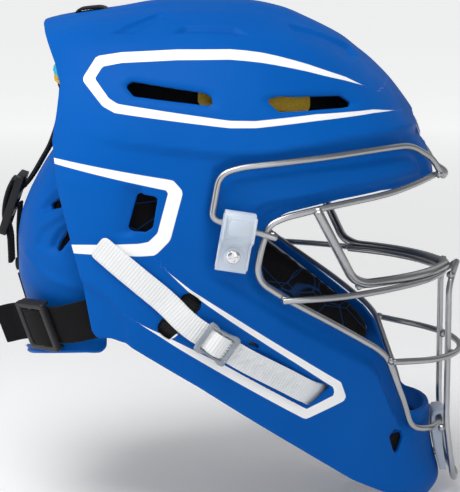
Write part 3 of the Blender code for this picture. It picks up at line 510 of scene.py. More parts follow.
def solid_sheet(points, normals, faces, thickness, lip, steps=3, inner_shift=None):
    """Give a sheet a wall thickness with rounded rims; returns points and faces of the closed solid."""
    count = len(points)
    thick = np.broadcast_to(np.asarray(thickness, float), (count,))
    inner = points - normals * thick[:, None]
    if inner_shift is not None:
        inner = inner - normals * inner_shift[:, None]
    half = {}
    for f in faces:
        for p, q in zip(f, f[1:] + f[:1]):
            half[(p, q)] = True
    border = [(p, q) for p, q in half if (q, p) not in half]
    direction = np.zeros((count, 3))
    for p, q in border:
        edge = points[q] - points[p]
        edge = edge / max(np.linalg.norm(edge), 1e-9)
        away = np.cross(edge, normals[p] + normals[q])
        direction[p] += away
        direction[q] += away
    rim = sorted({v for e in border for v in e})
    place = {v: i for i, v in enumerate(rim)}
    rim = np.array(rim, int)
    away = direction[rim]
    away -= normals[rim] * (away * normals[rim]).sum(1, keepdims=True)
    away /= np.maximum(np.linalg.norm(away, axis=1, keepdims=True), 1e-9)
    t = thick[rim][:, None]
    r = np.minimum(lip, t / 2)
    rings = []
    for k in range(1, steps + 1):
        a = 0.5 * math.pi * k / steps
        rings.append(points[rim] + away * r * math.sin(a) - normals[rim] * r * (1 - math.cos(a)))
    for k in range(0, steps):
        a = 0.5 * math.pi * (1 + k / steps)
        rings.append(points[rim] + away * r * math.sin(a) - normals[rim] * (t - r * (1 + math.cos(a))))
    everything = np.concatenate([points, inner] + rings)
    result = [list(f) for f in faces] + [[v + count for v in f[::-1]] for f in faces]
    base = 2 * count
    size = len(rim)
    for p, q in border:
        i, j = place[p], place[q]
        chain = [(p, q)] + [(base + k * size + i, base + k * size + j) for k in range(len(rings))]
        chain.append((p + count, q + count))
        for (a0, b0), (a1, b1) in zip(chain, chain[1:]):
            result.append([b0, a0, a1, b1])
    return everything, result


def sheet_faces_outward(points, faces, normals):
    p = points[faces]
    facing = np.cross(p[:, 1] - p[:, 0], p[:, 2] - p[:, 0])
    total = (facing * normals[faces[:, 0]]).sum()
    return faces if total > 0 else faces[:, ::-1].copy()


def moulding(points, normal, keep, wall, lip, steps=3, wrap=False, puff=None):
    """Solid sheet over a grid of points, cut at keep = 0; gives points, faces and the count of outer points."""
    flat = points.reshape(-1, 3)
    norms = normal.reshape(-1, 3)
    faces = sheet_faces_outward(flat, grid_faces(*points.shape[:2], wrap=wrap), norms)
    verts, norms, kept = clip_sheet(flat, norms, faces, keep.reshape(-1) - lip)
    shift = None if puff is None else puff(verts)
    return *solid_sheet(verts, norms, kept, wall, lip, steps, shift), len(verts)


def round_corners(points, fillet, steps):
    points = [Vector(p) for p in points]
    route = [points[0]]
    for before, corner, after in zip(points, points[1:], points[2:]):
        back = before - corner
        ahead = after - corner
        gentle = back.angle(-ahead) < math.radians(25)
        reach = min(1e9 if gentle else fillet, back.length * 0.48, ahead.length * 0.48)
        start = corner + back.normalized() * reach
        finish = corner + ahead.normalized() * reach
        for s in range(steps + 1):
            t = s / steps
            route.append(start * (1 - t) ** 2 + corner * 2 * t * (1 - t) + finish * t**2)
    route.append(points[-1])
    return route


def sweep_frames(route):
    """Tangents and a side direction carried along the route without twisting."""
    points = np.array([list(p) for p in route])
    keep = np.concatenate([[True], np.linalg.norm(np.diff(points, axis=0), axis=1) > 0.05])
    points = points[keep]
    tangent = np.gradient(points, axis=0)
    tangent /= np.linalg.norm(tangent, axis=1, keepdims=True)
    side = np.cross(tangent[0], (0.3, 0.2, 1.0))
    side /= np.linalg.norm(side)
    sides = []
    for t in tangent:
        side = side - t * (side @ t)
        side /= np.linalg.norm(side)
        sides.append(side)
    return points, tangent, np.array(sides)


def tube(name, points, radius, mat, fillet=8.0, steps=7, sides=18):
    """Bent round wire with rounded ends."""
    path, tangent, side = sweep_frames(round_corners(points, fillet, steps))
    other = np.cross(tangent, side)
    turn = np.arange(sides) * 2 * math.pi / sides
    caps = [(math.cos(math.radians(a)), math.sin(math.radians(a))) for a in (30, 55, 80)]
    rings = [(path[0] - tangent[0] * radius * 0.5 * s, side[0], other[0], radius * c) for c, s in caps[::-1]]
    rings += [(path[i], side[i], other[i], radius) for i in range(len(path))]
    rings += [(path[-1] + tangent[-1] * radius * 0.5 * s, side[-1], other[-1], radius * c) for c, s in caps]
    verts = np.concatenate([
        centre + r * (np.cos(turn)[:, None] * u + np.sin(turn)[:, None] * v) for centre, u, v, r in rings
    ])
    faces = grid_faces(len(rings), sides, wrap=True).tolist()
    faces.append(list(range(sides))[::-1])
    faces.append([len(verts) - sides + k for k in range(sides)])
    return outward(new_object(name, verts, faces, mat))


def resample(points, step):
    points = np.array([list(p) for p in points], float)
    lengths = np.concatenate([[0], np.cumsum(np.linalg.norm(np.diff(points, axis=0), axis=1))])
    count = max(2, int(round(lengths[-1] / step)) + 1)
    at = np.linspace(0, lengths[-1], count)
    return np.stack([np.interp(at, lengths, points[:, k]) for k in range(3)], -1), at


def webbing(name, points, normals, width, thickness, mat, step=1.0, across=9, relief=None, taper=None,
            fillet=10):
    """Flat strap as a closed solid; relief(s, v) lifts its outer face, taper(s, length) narrows it."""
    path, at = resample(round_corners(points, fillet, 6), step)
    source = np.array([list(p) for p in points], float)
    source_at = np.concatenate([[0], np.cumsum(np.linalg.norm(np.diff(source, axis=0), axis=1))])
    source_at = source_at / source_at[-1] * at[-1]
    given = np.array([list(n) for n in normals], float)
    normal = np.stack([np.interp(at, source_at, given[:, k]) for k in range(3)], -1)
    tangent = np.gradient(path, axis=0)
    tangent /= np.linalg.norm(tangent, axis=1, keepdims=True)
    side = np.cross(tangent, normal)
    side /= np.linalg.norm(side, axis=1, keepdims=True)
    up = np.cross(side, tangent)
    half = np.full(len(path), width / 2)
    if taper is not None:
        half = half * taper(at, at[-1])
    v = np.linspace(-1, 1, across)
    edge = 1 - 0.55 * np.abs(v) ** 10
    s_grid, v_grid = np.meshgrid(at, v, indexing="ij")
    lift = relief(s_grid, v_grid * width / 2) if relief is not None else np.zeros(s_grid.shape)
    flat = path[:, None] + side[:, None] * (half[:, None] * v)[..., None]
    top = flat + up[:, None] * (thickness / 2 * edge + lift)[..., None]
    low = flat - up[:, None] * (thickness / 2 * edge)[None, :, None]
    ring = np.concatenate([top, low[:, ::-1]], axis=1)
    rows, columns = ring.shape[:2]
    faces = grid_faces(rows, columns, wrap=True).tolist()
    for row, flip in ((0, False), (rows - 1, True)):
        for k in range(across - 1):
            a = row * columns
            quad = [a + k, a + k + 1, a + columns - 2 - k, a + columns - 1 - k]
            faces.append(quad[::-1] if flip else quad)
    s_values = np.repeat(at[:, None], columns, 1).reshape(-1)
    v_values = np.concatenate([v, v[::-1]])[None].repeat(rows, 0).reshape(-1) * width / 2
    weave = {"strap_s": s_values, "strap_v": v_values}
    return outward(new_object(name, ring.reshape(-1, 3), faces, mat, attributes=weave))


def lathe(name, base, axis, profile, mat, sides=32):
    axis = Vector(axis).normalized()
    side = axis.orthogonal().normalized()
    other = axis.cross(side)
    verts = []
    for radius, height in profile:
        for s in range(sides):
            turn = 2 * math.pi * s / sides
            verts.append(Vector(base) + side * radius * math.cos(turn) + other * radius * math.sin(turn)
                         + axis * height)
    faces = grid_faces(len(profile), sides, wrap=True).tolist()
    faces.append(list(range(sides)))
    faces.append([len(verts) - 1 - k for k in range(sides)])
    return outward(new_object(name, verts, faces, mat))


def block(name, centre, axes, sizes, mat, bevel=0.4):
    halves = (-0.5, 0.5)
    verts = [Vector(centre) + axes[0] * i * sizes[0] + axes[1] * j * sizes[1] + axes[2] * k * sizes[2]
             for i in halves for j in halves for k in halves]
    faces = [(0, 1, 3, 2), (4, 6, 7, 5), (0, 4, 5, 1), (2, 3, 7, 6), (0, 2, 6, 4), (1, 5, 7, 3)]
    obj = outward(new_object(name, verts, faces, mat, smooth=False))
    if bevel:
        soften(obj, bevel)
    return obj


def prism(name, outline, place, axes, low, high, mat, bevel=0.4, segments=3):
    """Outline in the plane of axes 0 and 1, from low to high along axis 2."""
    verts = [Vector(place) + axes[0] * a + axes[1] * b + axes[2] * h for h in (low, high) for a, b in outline]
    count = len(outline)
    faces = [tuple(range(count)), tuple(range(2 * count - 1, count - 1, -1))]
    faces += [(i, (i + 1) % count, count + (i + 1) % count, count + i) for i in range(count)]
    obj = outward(new_object(name, verts, faces, mat, smooth=False))
    if bevel:
        soften(obj, bevel, segments)
    return obj


def soften(obj, width, segments=3, angle=35):
    modifier = obj.modifiers.new("Rounded edges", "BEVEL")
    modifier.width = width * MM
    modifier.segments = segments
    modifier.limit_method = "ANGLE"
    modifier.angle_limit = math.radians(angle)
    modifier.harden_normals = False


def baked(obj):
    """Apply every modifier."""
    bpy.context.view_layer.update()
    graph = bpy.context.evaluated_depsgraph_get()
    mesh = bpy.data.meshes.new_from_object(obj.evaluated_get(graph))
    old = obj.data
    obj.modifiers.clear()
    obj.data = mesh
    bpy.data.meshes.remove(old)
    return obj


def joined(name, pieces):
    """One object from several separate closed pieces."""
    for piece in pieces:
        baked(piece)
    work = bmesh.new()
    mats = []
    for piece in pieces:
        mesh = piece.data
        start = len(work.faces)
        work.from_mesh(mesh)
        work.faces.ensure_lookup_table()
        offset = len(mats)
        mats.extend(mesh.materials)
        for face in work.faces[start:]:
            face.material_index += offset
    mesh = bpy.data.meshes.new(name)
    work.to_mesh(mesh)
    work.free()
    unique = []
    for mat in mats:
        if mat not in unique:
            unique.append(mat)
    index = [unique.index(m) for m in mats]
    values = [index[p.material_index] for p in mesh.polygons]
    for mat in unique:
        mesh.materials.append(mat)
    mesh.polygons.foreach_set("material_index", values)
    for piece in pieces:
        bpy.data.objects.remove(piece, do_unlink=True)
    return linked(name, mesh)


def cut_out(obj, cutter):
    modifier = obj.modifiers.new("Cut", "BOOLEAN")
    modifier.operation = "DIFFERENCE"
    modifier.solver = "EXACT"
    modifier.object = cutter
    baked(obj)
    bpy.data.objects.remove(cutter, do_unlink=True)
    return obj


def smooth_by_angle(obj, degrees=35):
    mesh = obj.data
    mesh.polygons.foreach_set("use_smooth", [True] * len(mesh.polygons))
    limit = math.radians(degrees)
    with edited(mesh) as work:
        for edge in work.edges:
            if len(edge.link_faces) == 2:
                edge.smooth = edge.calc_face_angle(0) < limit
    return obj


def place(obj, body, slot, *nodes):
    """Ride a body and stand for CAD nodes; the slot is not used."""
    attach(obj, body)
    if nodes:
        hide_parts(*nodes)
    return obj


# ---------------------------------------------------------------- materials
class Nodes:
    """Short way to write a procedural material."""

    def __init__(self, name, colour, rough, metal=0.0, **sockets):
        self.mat = bpy.data.materials.new(name)
        self.mat.use_nodes = True
        self.tree = self.mat.node_tree
        self.shader = self.tree.nodes["Principled BSDF"]
        self.shader.inputs["Base Color"].default_value = (*colour, 1)
        self.shader.inputs["Roughness"].default_value = rough
        self.shader.inputs["Metallic"].default_value = metal
        for key, value in sockets.items():
            self.shader.inputs[key.replace("_", " ")].default_value = value
        self.mat.diffuse_color = (*colour, 1)

    def add(self, kind, **settings):
        node = self.tree.nodes.new(kind)
        for key, value in settings.items():
            setattr(node, key, value)
        return node

    def link(self, source, target):
        self.tree.links.new(source, target)

    def put(self, socket, source):
        if isinstance(source, (int, float)):
            socket.default_value = source
        else:
            self.link(source, socket)

    def maths(self, operation, a, b=0.0, c=None, clamp=False):
        node = self.add("ShaderNodeMath", operation=operation, use_clamp=clamp)
        self.put(node.inputs[0], a)
        self.put(node.inputs[1], b)
        if c is not None:
            self.put(node.inputs[2], c)
        return node.outputs[0]

    def attribute(self, name):
        return self.add("ShaderNodeAttribute", attribute_name=name).outputs["Fac"]

    def where(self, stretch=(1, 1, 1)):
        coord = self.add("ShaderNodeTexCoord")
        mapping = self.add("ShaderNodeMapping")
        mapping.inputs["Scale"].default_value = stretch
        self.link(coord.outputs["Object"], mapping.inputs["Vector"])
        return mapping.outputs["Vector"]

    def noise(self, scale, detail=2.0):
        node = self.add("ShaderNodeTexNoise")
        node.inputs["Scale"].default_value = scale
        node.inputs["Detail"].default_value = detail
        self.link(self.where(), node.inputs["Vector"])
        return node.outputs["Fac"]

    def spread(self, value, low, high, to_low, to_high):
        node = self.add("ShaderNodeMapRange")
        self.put(node.inputs["Value"], value)
        for key, number in zip(("From Min", "From Max", "To Min", "To Max"), (low, high, to_low, to_high)):
            node.inputs[key].default_value = number
        return node.outputs["Result"]

    def blend(self, factor, first, second):
        node = self.add("ShaderNodeMix", data_type="RGBA")
        self.put(node.inputs["Factor"], factor)
        for socket, colour in ((node.inputs["A"], first), (node.inputs["B"], second)):
            if isinstance(colour, tuple):
                socket.default_value = (*colour, 1)
            else:
                self.link(colour, socket)
        return node.outputs["Result"]

    def base(self, source):
        self.link(source, self.shader.inputs["Base Color"])

    def rough(self, source):
        self.link(source, self.shader.inputs["Roughness"])

    def mottle(self, scale, detail, first, second, low=0.3, high=0.7):
        """Two colours, blended by noise."""
        return self.blend(self.spread(self.noise(scale, detail), low, high, 0, 1), first, second)

    def worn(self, noise, low, high):
        """Roughness between two values, after a noise."""
        self.rough(self.spread(noise, 0.3, 0.7, low, high))

    def bump(self, height, strength=0.3, distance=0.0005):
        node = self.add("ShaderNodeBump")
        node.inputs["Strength"].default_value = strength
        node.inputs["Distance"].default_value = distance
        self.put(node.inputs["Height"], height)
        self.link(node.outputs["Normal"], self.shader.inputs["Normal"])


BLUE = (0.0015, 0.0880, 0.3750)
BLUE_TONES = ((0.0012, 0.0820, 0.3600), (0.0020, 0.0930, 0.3950), 0.35, 0.65)
WHITE = (0.820, 0.822, 0.824)


def shell_material():
    n = Nodes("Royal blue moulding", BLUE, 0.46, Specular_IOR_Level=0.04)
    tone = n.mottle(9.0, 3.0, *BLUE_TONES)
    mask = None
    for i in range(len(STRIPES)):
        offset = n.maths("ABSOLUTE", n.attribute(f"stripe_offset_{i}"))
        inside = n.maths("SUBTRACT", n.attribute(f"stripe_width_{i}"), offset)
        sharp = n.maths("MULTIPLY_ADD", inside, 6.0, 0.5, clamp=True)
        mask = sharp if mask is None else n.maths("MAXIMUM", mask, sharp)
    n.base(n.blend(mask, tone, WHITE))
    n.worn(n.noise(120.0), 0.42, 0.50)
    height = n.maths("ADD", n.maths("MULTIPLY", n.noise(1500.0), 0.35), n.maths("MULTIPLY", mask, 0.6))
    n.bump(height, 0.22, 0.00012)
    return n.mat


def plain_blue_material():
    n = Nodes("Royal blue back plate", BLUE, 0.46, Specular_IOR_Level=0.04)
    n.base(n.mottle(10.0, 3.0, *BLUE_TONES))
    n.worn(n.noise(120.0), 0.42, 0.50)
    n.bump(n.noise(1500.0), 0.15, 0.00012)
    return n.mat


def wire_material():
    n = Nodes("Satin steel wire", (0.38, 0.385, 0.395), 0.26, 1.0)
    grain = n.noise(300.0)
    n.base(n.mottle(24.0, 2.0, (0.34, 0.345, 0.355), (0.43, 0.435, 0.445)))
    n.worn(grain, 0.29, 0.33)
    n.bump(grain, 0.02, 0.00002)
    return n.mat


def screw_material():
    n = Nodes("Bright zinc", (0.70, 0.70, 0.71), 0.22, 1.0)
    grain = n.noise(900.0, 3.0)
    n.base(n.blend(grain, (0.60, 0.60, 0.62), (0.78, 0.78, 0.79)))
    n.worn(grain, 0.16, 0.3)
    n.bump(grain, 0.1, 0.00005)
    return n.mat


def clear_material():
    n = Nodes("Frosted clear plastic", (0.60, 0.69, 0.80), 0.34, 0.0, Transmission_Weight=0.28, IOR=1.45)
    frost = n.noise(90.0)
    n.worn(frost, 0.30, 0.38)
    n.base(n.mottle(40.0, 2.0, (0.60, 0.69, 0.80), (0.74, 0.81, 0.90)))
    n.bump(frost, 0.05, 0.0001)
    return n.mat


def buckle_material():
    n = Nodes("Smoky clear plastic", (0.42, 0.48, 0.54), 0.18, 0.0, Transmission_Weight=0.55, IOR=1.5)
    n.base(n.mottle(60.0, 2.0, (0.36, 0.41, 0.47), (0.50, 0.55, 0.60)))
    n.worn(n.noise(500.0), 0.12, 0.28)
    n.bump(n.noise(900.0), 0.08, 0.0001)
    return n.mat


def webbing_material(name, dark, light, rib, across, rough=0.75, height=0.4, sheen=0.3):
    """Woven band: ribs across every 'rib' mm and yarns along every 'across' mm."""
    n = Nodes(name, light, rough, 0.0, Sheen_Weight=sheen, Specular_IOR_Level=0.12)
    s = n.attribute("strap_s")
    v = n.attribute("strap_v")
    ribs = n.maths("SINE", n.maths("MULTIPLY", s, 2 * math.pi / rib))
    yarns = n.maths("SINE", n.maths("MULTIPLY", v, 2 * math.pi / across))
    weave = n.maths("MULTIPLY_ADD", n.maths("MULTIPLY", ribs, yarns), 0.35, 0.5)
    weave = n.maths("MULTIPLY_ADD", ribs, 0.2, weave)
    fuzz = n.noise(2200.0, 2.0)
    # Colour: random fuzz tone, plus painted shade from the weave, darker in its grooves and lighter on its raised
    # ribs.
    shade = n.maths("MULTIPLY_ADD", fuzz, 0.5, n.maths("MULTIPLY", weave, 0.7), clamp=True)
    n.base(n.blend(shade, dark, light))
    n.worn(fuzz, rough - 0.08, min(1.0, rough + 0.12))
    n.bump(n.maths("MULTIPLY_ADD", fuzz, 0.25, weave), height, 0.0004)
    return n.mat


def foam_material(name, dark, light):
    n = Nodes(name, light, 0.85, 0.0, Sheen_Weight=0.15)
    cells = n.add("ShaderNodeTexVoronoi")
    cells.inputs["Scale"].default_value = 900.0
    n.link(n.where(), cells.inputs["Vector"])
    pores = n.spread(cells.outputs["Distance"], 0.0, 0.6, 0.0, 1.0)
    # Colour: random noise tone, plus painted shade darkening the sunken middles of the pores.
    n.base(n.blend(n.maths("MULTIPLY_ADD", n.noise(60.0, 3.0), 0.4, n.maths("MULTIPLY", pores, 0.6)), dark, light))
    n.rough(n.spread(pores, 0, 1, 0.92, 0.78))
    n.bump(pores, 0.35, 0.0003)
    return n.mat


def liner_material(name, lines):
    """Black knit, with or without a thin blue network of straight lines."""
    n = Nodes(name, (0.008, 0.008, 0.010), 0.85, 0.0, Sheen_Weight=0.02, Specular_IOR_Level=0.2)
    line = None
    for scale, shift in ((30.0, 0.0), (37.0, 0.013)):
        cells = n.add("ShaderNodeTexVoronoi", feature="DISTANCE_TO_EDGE")
        cells.inputs["Scale"].default_value = scale
        moved = n.add("ShaderNodeMapping")
        moved.inputs["Location"].default_value = (shift, shift, shift)
        n.link(n.where(), moved.inputs["Vector"])
        n.link(moved.outputs["Vector"], cells.inputs["Vector"])
        edge = n.spread(cells.outputs["Distance"], 0.004, 0.012, 1.0, 0.0)
        line = edge if line is None else n.maths("MAXIMUM", line, edge)
    knit = n.add("ShaderNodeTexVoronoi")
    knit.inputs["Scale"].default_value = 1300.0
    n.link(n.where((1, 1, 1.4)), knit.inputs["Vector"])
    stitch = knit.outputs["Distance"]
    # Ground colour: painted shade, darker between the stitches where the bump sinks.
    ground = n.blend(n.spread(stitch, 0.0, 0.6, 0, 1), (0.012, 0.012, 0.014), (0.004, 0.004, 0.005))
    n.base(n.blend(n.maths("MULTIPLY", line, lines), ground, (0.010, 0.060, 0.200)))
    n.rough(n.spread(stitch, 0, 0.6, 0.72, 0.92))
    n.bump(n.maths("MULTIPLY", stitch, -1.0), 0.3, 0.0003)
    return n.mat


def plastic_material(name, dark, light, rough=0.42):
    n = Nodes(name, light, rough, Specular_IOR_Level=0.3)
    grain = n.noise(1100.0, 3.0)
    n.base(n.blend(n.noise(45.0, 3.0), dark, light))
    n.worn(grain, rough - 0.08, rough + 0.1)
    n.bump(grain, 0.25, 0.00015)
    return n.mat


def badge_material():
    n = Nodes("Badge rings", WHITE, 0.35)
    radial = n.attribute("badge_radius")
    ring = n.maths("SUBTRACT", 0.9, n.maths("ABSOLUTE", n.maths("SUBTRACT", radial, 8.3)))
    inner = n.maths("SUBTRACT", 0.6, n.maths("ABSOLUTE", n.maths("SUBTRACT", radial, 5.2)))
    mask = n.maths("MULTIPLY", n.maths("MAXIMUM", ring, inner), 6.0, clamp=True)
    n.base(n.blend(mask, (0.010, 0.070, 0.260), WHITE))
    n.worn(n.noise(600.0), 0.28, 0.42)
    n.bump(mask, 0.3, 0.0002)
    return n.mat


blue = shell_material()
blue_plain = plain_blue_material()
steel = wire_material()
zinc = screw_material()
clear = clear_material()
smoky = buckle_material()
white_web = webbing_material("White ribbed webbing", (0.56, 0.57, 0.58), (0.82, 0.825, 0.83), 1.9, 1.1, 0.68, 0.3)
print_web = webbing_material("White printed webbing",
                             (0.50, 0.52, 0.54), (0.76, 0.775, 0.79), 1.9, 1.1, 0.52, 0.25)
black_web = webbing_material("Black webbing",
                             (0.003, 0.003, 0.0035), (0.019, 0.019, 0.020), 2.2, 1.4, 0.8, 0.7, 0.08)
elastic = webbing_material("Black elastic",
                           (0.002, 0.002, 0.0025), (0.008, 0.008, 0.009), 1.1, 1.0, 0.85, 0.6, 0.03)
black_plastic = plastic_material("Black moulded plastic", (0.006, 0.006, 0.007), (0.014, 0.014, 0.016), 0.42)
black_rubber = plastic_material("Black soft rubber", (0.010, 0.010, 0.011), (0.018, 0.018, 0.019), 0.62)
cyan = foam_material("Cyan foam", (0.010, 0.200, 0.330), (0.020, 0.420, 0.620))
yellow = foam_material("Yellow foam", (0.420, 0.230, 0.010), (0.700, 0.440, 0.030))
grey_foam = foam_material("Grey foam", (0.300, 0.310, 0.330), (0.520, 0.530, 0.550))
liner = liner_material("Black liner knit", 0.0)
lined = liner_material("Black liner with blue lines", 0.75)


# ---------------------------------------------------------------- shell
def build_shell():
    # rows of points, closest together from the brow to the jaw, where the vents and stripes are
    levels = np.concatenate([np.linspace(0, 1, 9)[:-1], np.linspace(1, 3, 16)[:-1], np.linspace(3, 8, 66)[:-1],
                             np.linspace(8, 12, 84)[:-1], np.linspace(12, 15, 38)])
    angles = np.linspace(0, 2 * math.pi, 400, endpoint=False)
    level, angle = np.meshgrid(levels, angles, indexing="ij")
    base = shell_point(level, angle)
    wrapped = np.concatenate([base[:, -3:], base, base[:, :3]], axis=1)
    normal = grid_normals(wrapped)[:, 3:-3]
    normal = facing(normal, base - head_axis(base))
    normal[level < 0.02] = (0, 0, 1)
    x, y, z = base[..., 0], base[..., 1], base[..., 2]
    points = base + normal * shell_relief(x, y, z)[..., None]
    wrapped = np.concatenate([points[:, -3:], points, points[:, :3]], axis=1)
    detailed = grid_normals(wrapped)[:, 3:-3]
    detailed = facing(detailed, normal)
    detailed[level < 0.4] = normal[level < 0.4]
    keep = shell_keep(points[..., 0], points[..., 1], points[..., 2])
    solid, faces, outer = moulding(points, detailed, keep, SHELL_WALL, RIM, wrap=True)
    attributes = {}
    inner_face = np.zeros(len(solid), bool)
    inner_face[outer:2 * outer] = True
    for i, stripe in enumerate(STRIPES):
        offset, width = path_distance(solid[:, 0], solid[:, 2], stripe)
        attributes[f"stripe_offset_{i}"] = offset
        attributes[f"stripe_width_{i}"] = np.where(inner_face, -5.0, width)
    obj = new_object("shell_moulding", solid, faces, blue, attributes=attributes)
    weld(obj)
    place(obj, "shell", "blue_shell", "front_shell")


def weld(obj, distance=0.00001):
    with edited(obj.data) as work:
        bmesh.ops.remove_doubles(work, verts=work.verts, dist=distance)


def hem_weight(height):
    return np.clip((HEM_START - height) / (HEM_START + HEM_LOW), 0, 1)


def build_back_plate():
    heights = np.concatenate([np.arange(50, -74, -1.5), np.arange(-74, -88.4, -1.2)])
    rows = []
    for z in heights:
        limit = math.asin((14.0 / (PLATE_CENTRE_X - plate_section(z)[0])) ** 1.4)
        rows.append(plate_row(z, 0.0, limit, 190))
    points = np.array(rows)
    height = points[..., 2].copy()
    points[..., 2] += HEM_RISE * (np.minimum(np.abs(points[..., 1]), 85) / 85) ** 1.2 * hem_weight(height)
    normal = grid_normals(points)
    normal = facing(normal, points - np.array((PLATE_CENTRE_X, 0, 0)))
    x, y, z = points[..., 0], points[..., 1], points[..., 2]
    girth = np.abs(y)
    # channel for the webbing down the middle, scoops round the vents, and the ridge under them
    relief = -1.4 * ramp(-girth, -17, -13.5) * ramp(z, -52, -46)
    for outline, depth in PLATE_SCOOPS:
        relief -= depth * ramp(-outline_distance(x, z, outline), -0.4, 3.2) * ramp(girth, 30, 45)
    ridge, _ = path_distance(x, z, PLATE_RIDGE)
    relief += 0.7 * np.exp(-(ridge / 2.6) ** 2) * ramp(girth, 20, 40)
    points = points + normal * relief[..., None]
    detailed = grid_normals(points)
    detailed = facing(detailed, normal)
    keep = np.minimum.reduce([np.where(girth > 30, rounded_distance(x, z, v, 1.2), 99) for v in PLATE_VENTS])
    # cut-away upper corner, and the lower front corner's rounding
    corner = rounded_distance(x, z, ((-40, 60), (-40, 8), (-62, 10), (-77, 30), (-92.5, 56)), 6)
    front = -64.6 - x
    low = height + HEM_LOW
    turn = 8.0
    rounded = turn - np.hypot(np.maximum(turn - front, 0), np.maximum(turn - low, 0))
    keep = np.minimum.reduce([keep, corner, 50 - height, low, front, rounded])
    solid, faces, _ = moulding(points, detailed, keep, PLATE_WALL, RIM)
    obj = new_object("back_plate_moulding", solid, faces, blue_plain)
    weld(obj)
    place(obj, "back_plate", "blue_shell", "back_plate")


# ---------------------------------------------------------------- cage
def on_shell(out, *spots):
    """Points 'out' beyond the shell's right side, from (x, z) or (x, z, a further distance out)."""
    return [tuple(side_point(x, z, out + sum(more), -1)) for x, z, *more in spots]


def mirrored(points):
    return list(points) + [(x, -y, z) for x, y, z in reversed(points) if abs(y) > 1e-6]


BROW_OUT = 4.0   # how far the brow wire's middle stands off the shell
EDGE_OUT = 3.0   # the same for the wire along the opening
NOSE_Z = -35.2
UPPER_Z = -31.0
INNER_Z = -33.2


def build_cage():
    brow = on_shell(BROW_OUT, (37, 4, 4.0), (24, 8, 1.2), (8, 12.5), (0.5, 16), (5, 41), (18, 45), (43, 47),
                    (69, 49), (96, 51), (119, 51)) + [(137.5, -37, 42), (144, -32, 30), (149.5, 0, 29)]
    edge = [(138.5, -34.5, 31.5)]
    edge += on_shell(EDGE_OUT, (122, 28), (104, 24.5), (68, 20), (43, 15), (34, 11), (30, -1), (27, -16),
                     (30, -24), (43, -33.5), (79, -56), (101, -72), (107, -79), (119, -113), (123, -129))
    edge += [(138, -34, -133), (146.6, -16, -133), (147, 0, -133)]
    ring = mirrored([
        (157, 0, -30), (151.6, -27, -34), (149.5, -30, -42), (149.5, -30, -81), (149.5, -29, -125),
        (150, -29, -134), (154, -27, -163), (156, -19, -170), (159, 0, -170.5),
    ])
    lower = on_shell(EDGE_OUT, (42, -34.5, 3.6))
    lower += [(79, -96, NOSE_Z), (110, -69, NOSE_Z), (137, -36, NOSE_Z), (151, 0, NOSE_Z)]
    upper = on_shell(EDGE_OUT, (62.5, 17.5, 1.2)) + [(86, -77, -27)]
    upper += [(94, -73, UPPER_Z), (118, -56, UPPER_Z), (137, -33, UPPER_Z), (151, 0, UPPER_Z)]
    inner = [(90, -68, INNER_Z), (113, -53, INNER_Z), (132, -31, INNER_Z), (146.2, 0, INNER_Z)]
    mouth = on_shell(EDGE_OUT, (108.5, -80.5, 3.7)) + [(140, -52, -83.5), (155.5, -29, -84), (161, 0, -84.5)]
    for name, route, radius, fillet, node in (
        ("brow_wire", mirrored(brow), WIRE_RADIUS, 9, "brow_wire"),
        ("opening_edge_wire", mirrored(edge), WIRE_RADIUS, 8, "opening_wire"),
        ("centre_ring", ring[:-1] + [(157, 0.3, -30)], WIRE_RADIUS, 8, "centre_ring"),
        ("nose_bar_lower", mirrored(lower), WIRE_RADIUS, 14, "nose_bar_lower"),
        ("nose_bar_upper", mirrored(upper), BAR_RADIUS, 8, "nose_bar_upper"),
        ("nose_bar_inner", mirrored(inner), WIRE_RADIUS, 12, "nose_bar_inner"),
        ("mouth_bar", mirrored(mouth), WIRE_RADIUS, 14, "mouth_bar"),
    ):
        place(tube(name, route, radius, steel, fillet), "shell", "cage_steel", "cage_" + node)
    spots = on_shell(BROW_OUT, (36, 5, 1.6)) + [(141.5, -33.6, 32.0)]
    spots += on_shell(EDGE_OUT, (43, -34, 1.8), (63, 18, 0.4))
    spots += [(150.6, -28, -33.4), (151.2, -28.8, -84), (146.5, -29.6, -133.4)]
    spots += on_shell(EDGE_OUT, (108, -80, 1.8)) + [(90.3, -70.5, -33)]
    beads = []
    for (x, y, z), size in zip(spots, (3.0, 2.9, 2.9, 2.8, 2.9, 2.8, 2.8, 2.9, 2.7)):
        for side in (1, -1):
            beads.append(weld_bead((x, y * side, z), size, len(beads)))
    place(joined("cage_weld_beads", beads), "shell", "cage_steel")


def weld_bead(centre, size, seed):
    """Small lumpy fillet where two wires are welded."""
    work = bmesh.new()
    bmesh.ops.create_icosphere(work, subdivisions=3, radius=1.0)
    for vert in work.verts:
        d = vert.co.normalized()
        wave = 0.06 * math.sin(7 * d.x + seed) + 0.05 * math.sin(9 * d.y + 2 * seed) + 0.04 * math.sin(11 * d.z)
        vert.co = (Vector(centre) + d * size * (0.86 + wave)) * MM
    mesh = bpy.data.meshes.new("weld")
    work.to_mesh(mesh)
    work.free()
    mesh.polygons.foreach_set("use_smooth", [True] * len(mesh.polygons))
    mesh.materials.append(steel)
    return linked("weld", mesh)


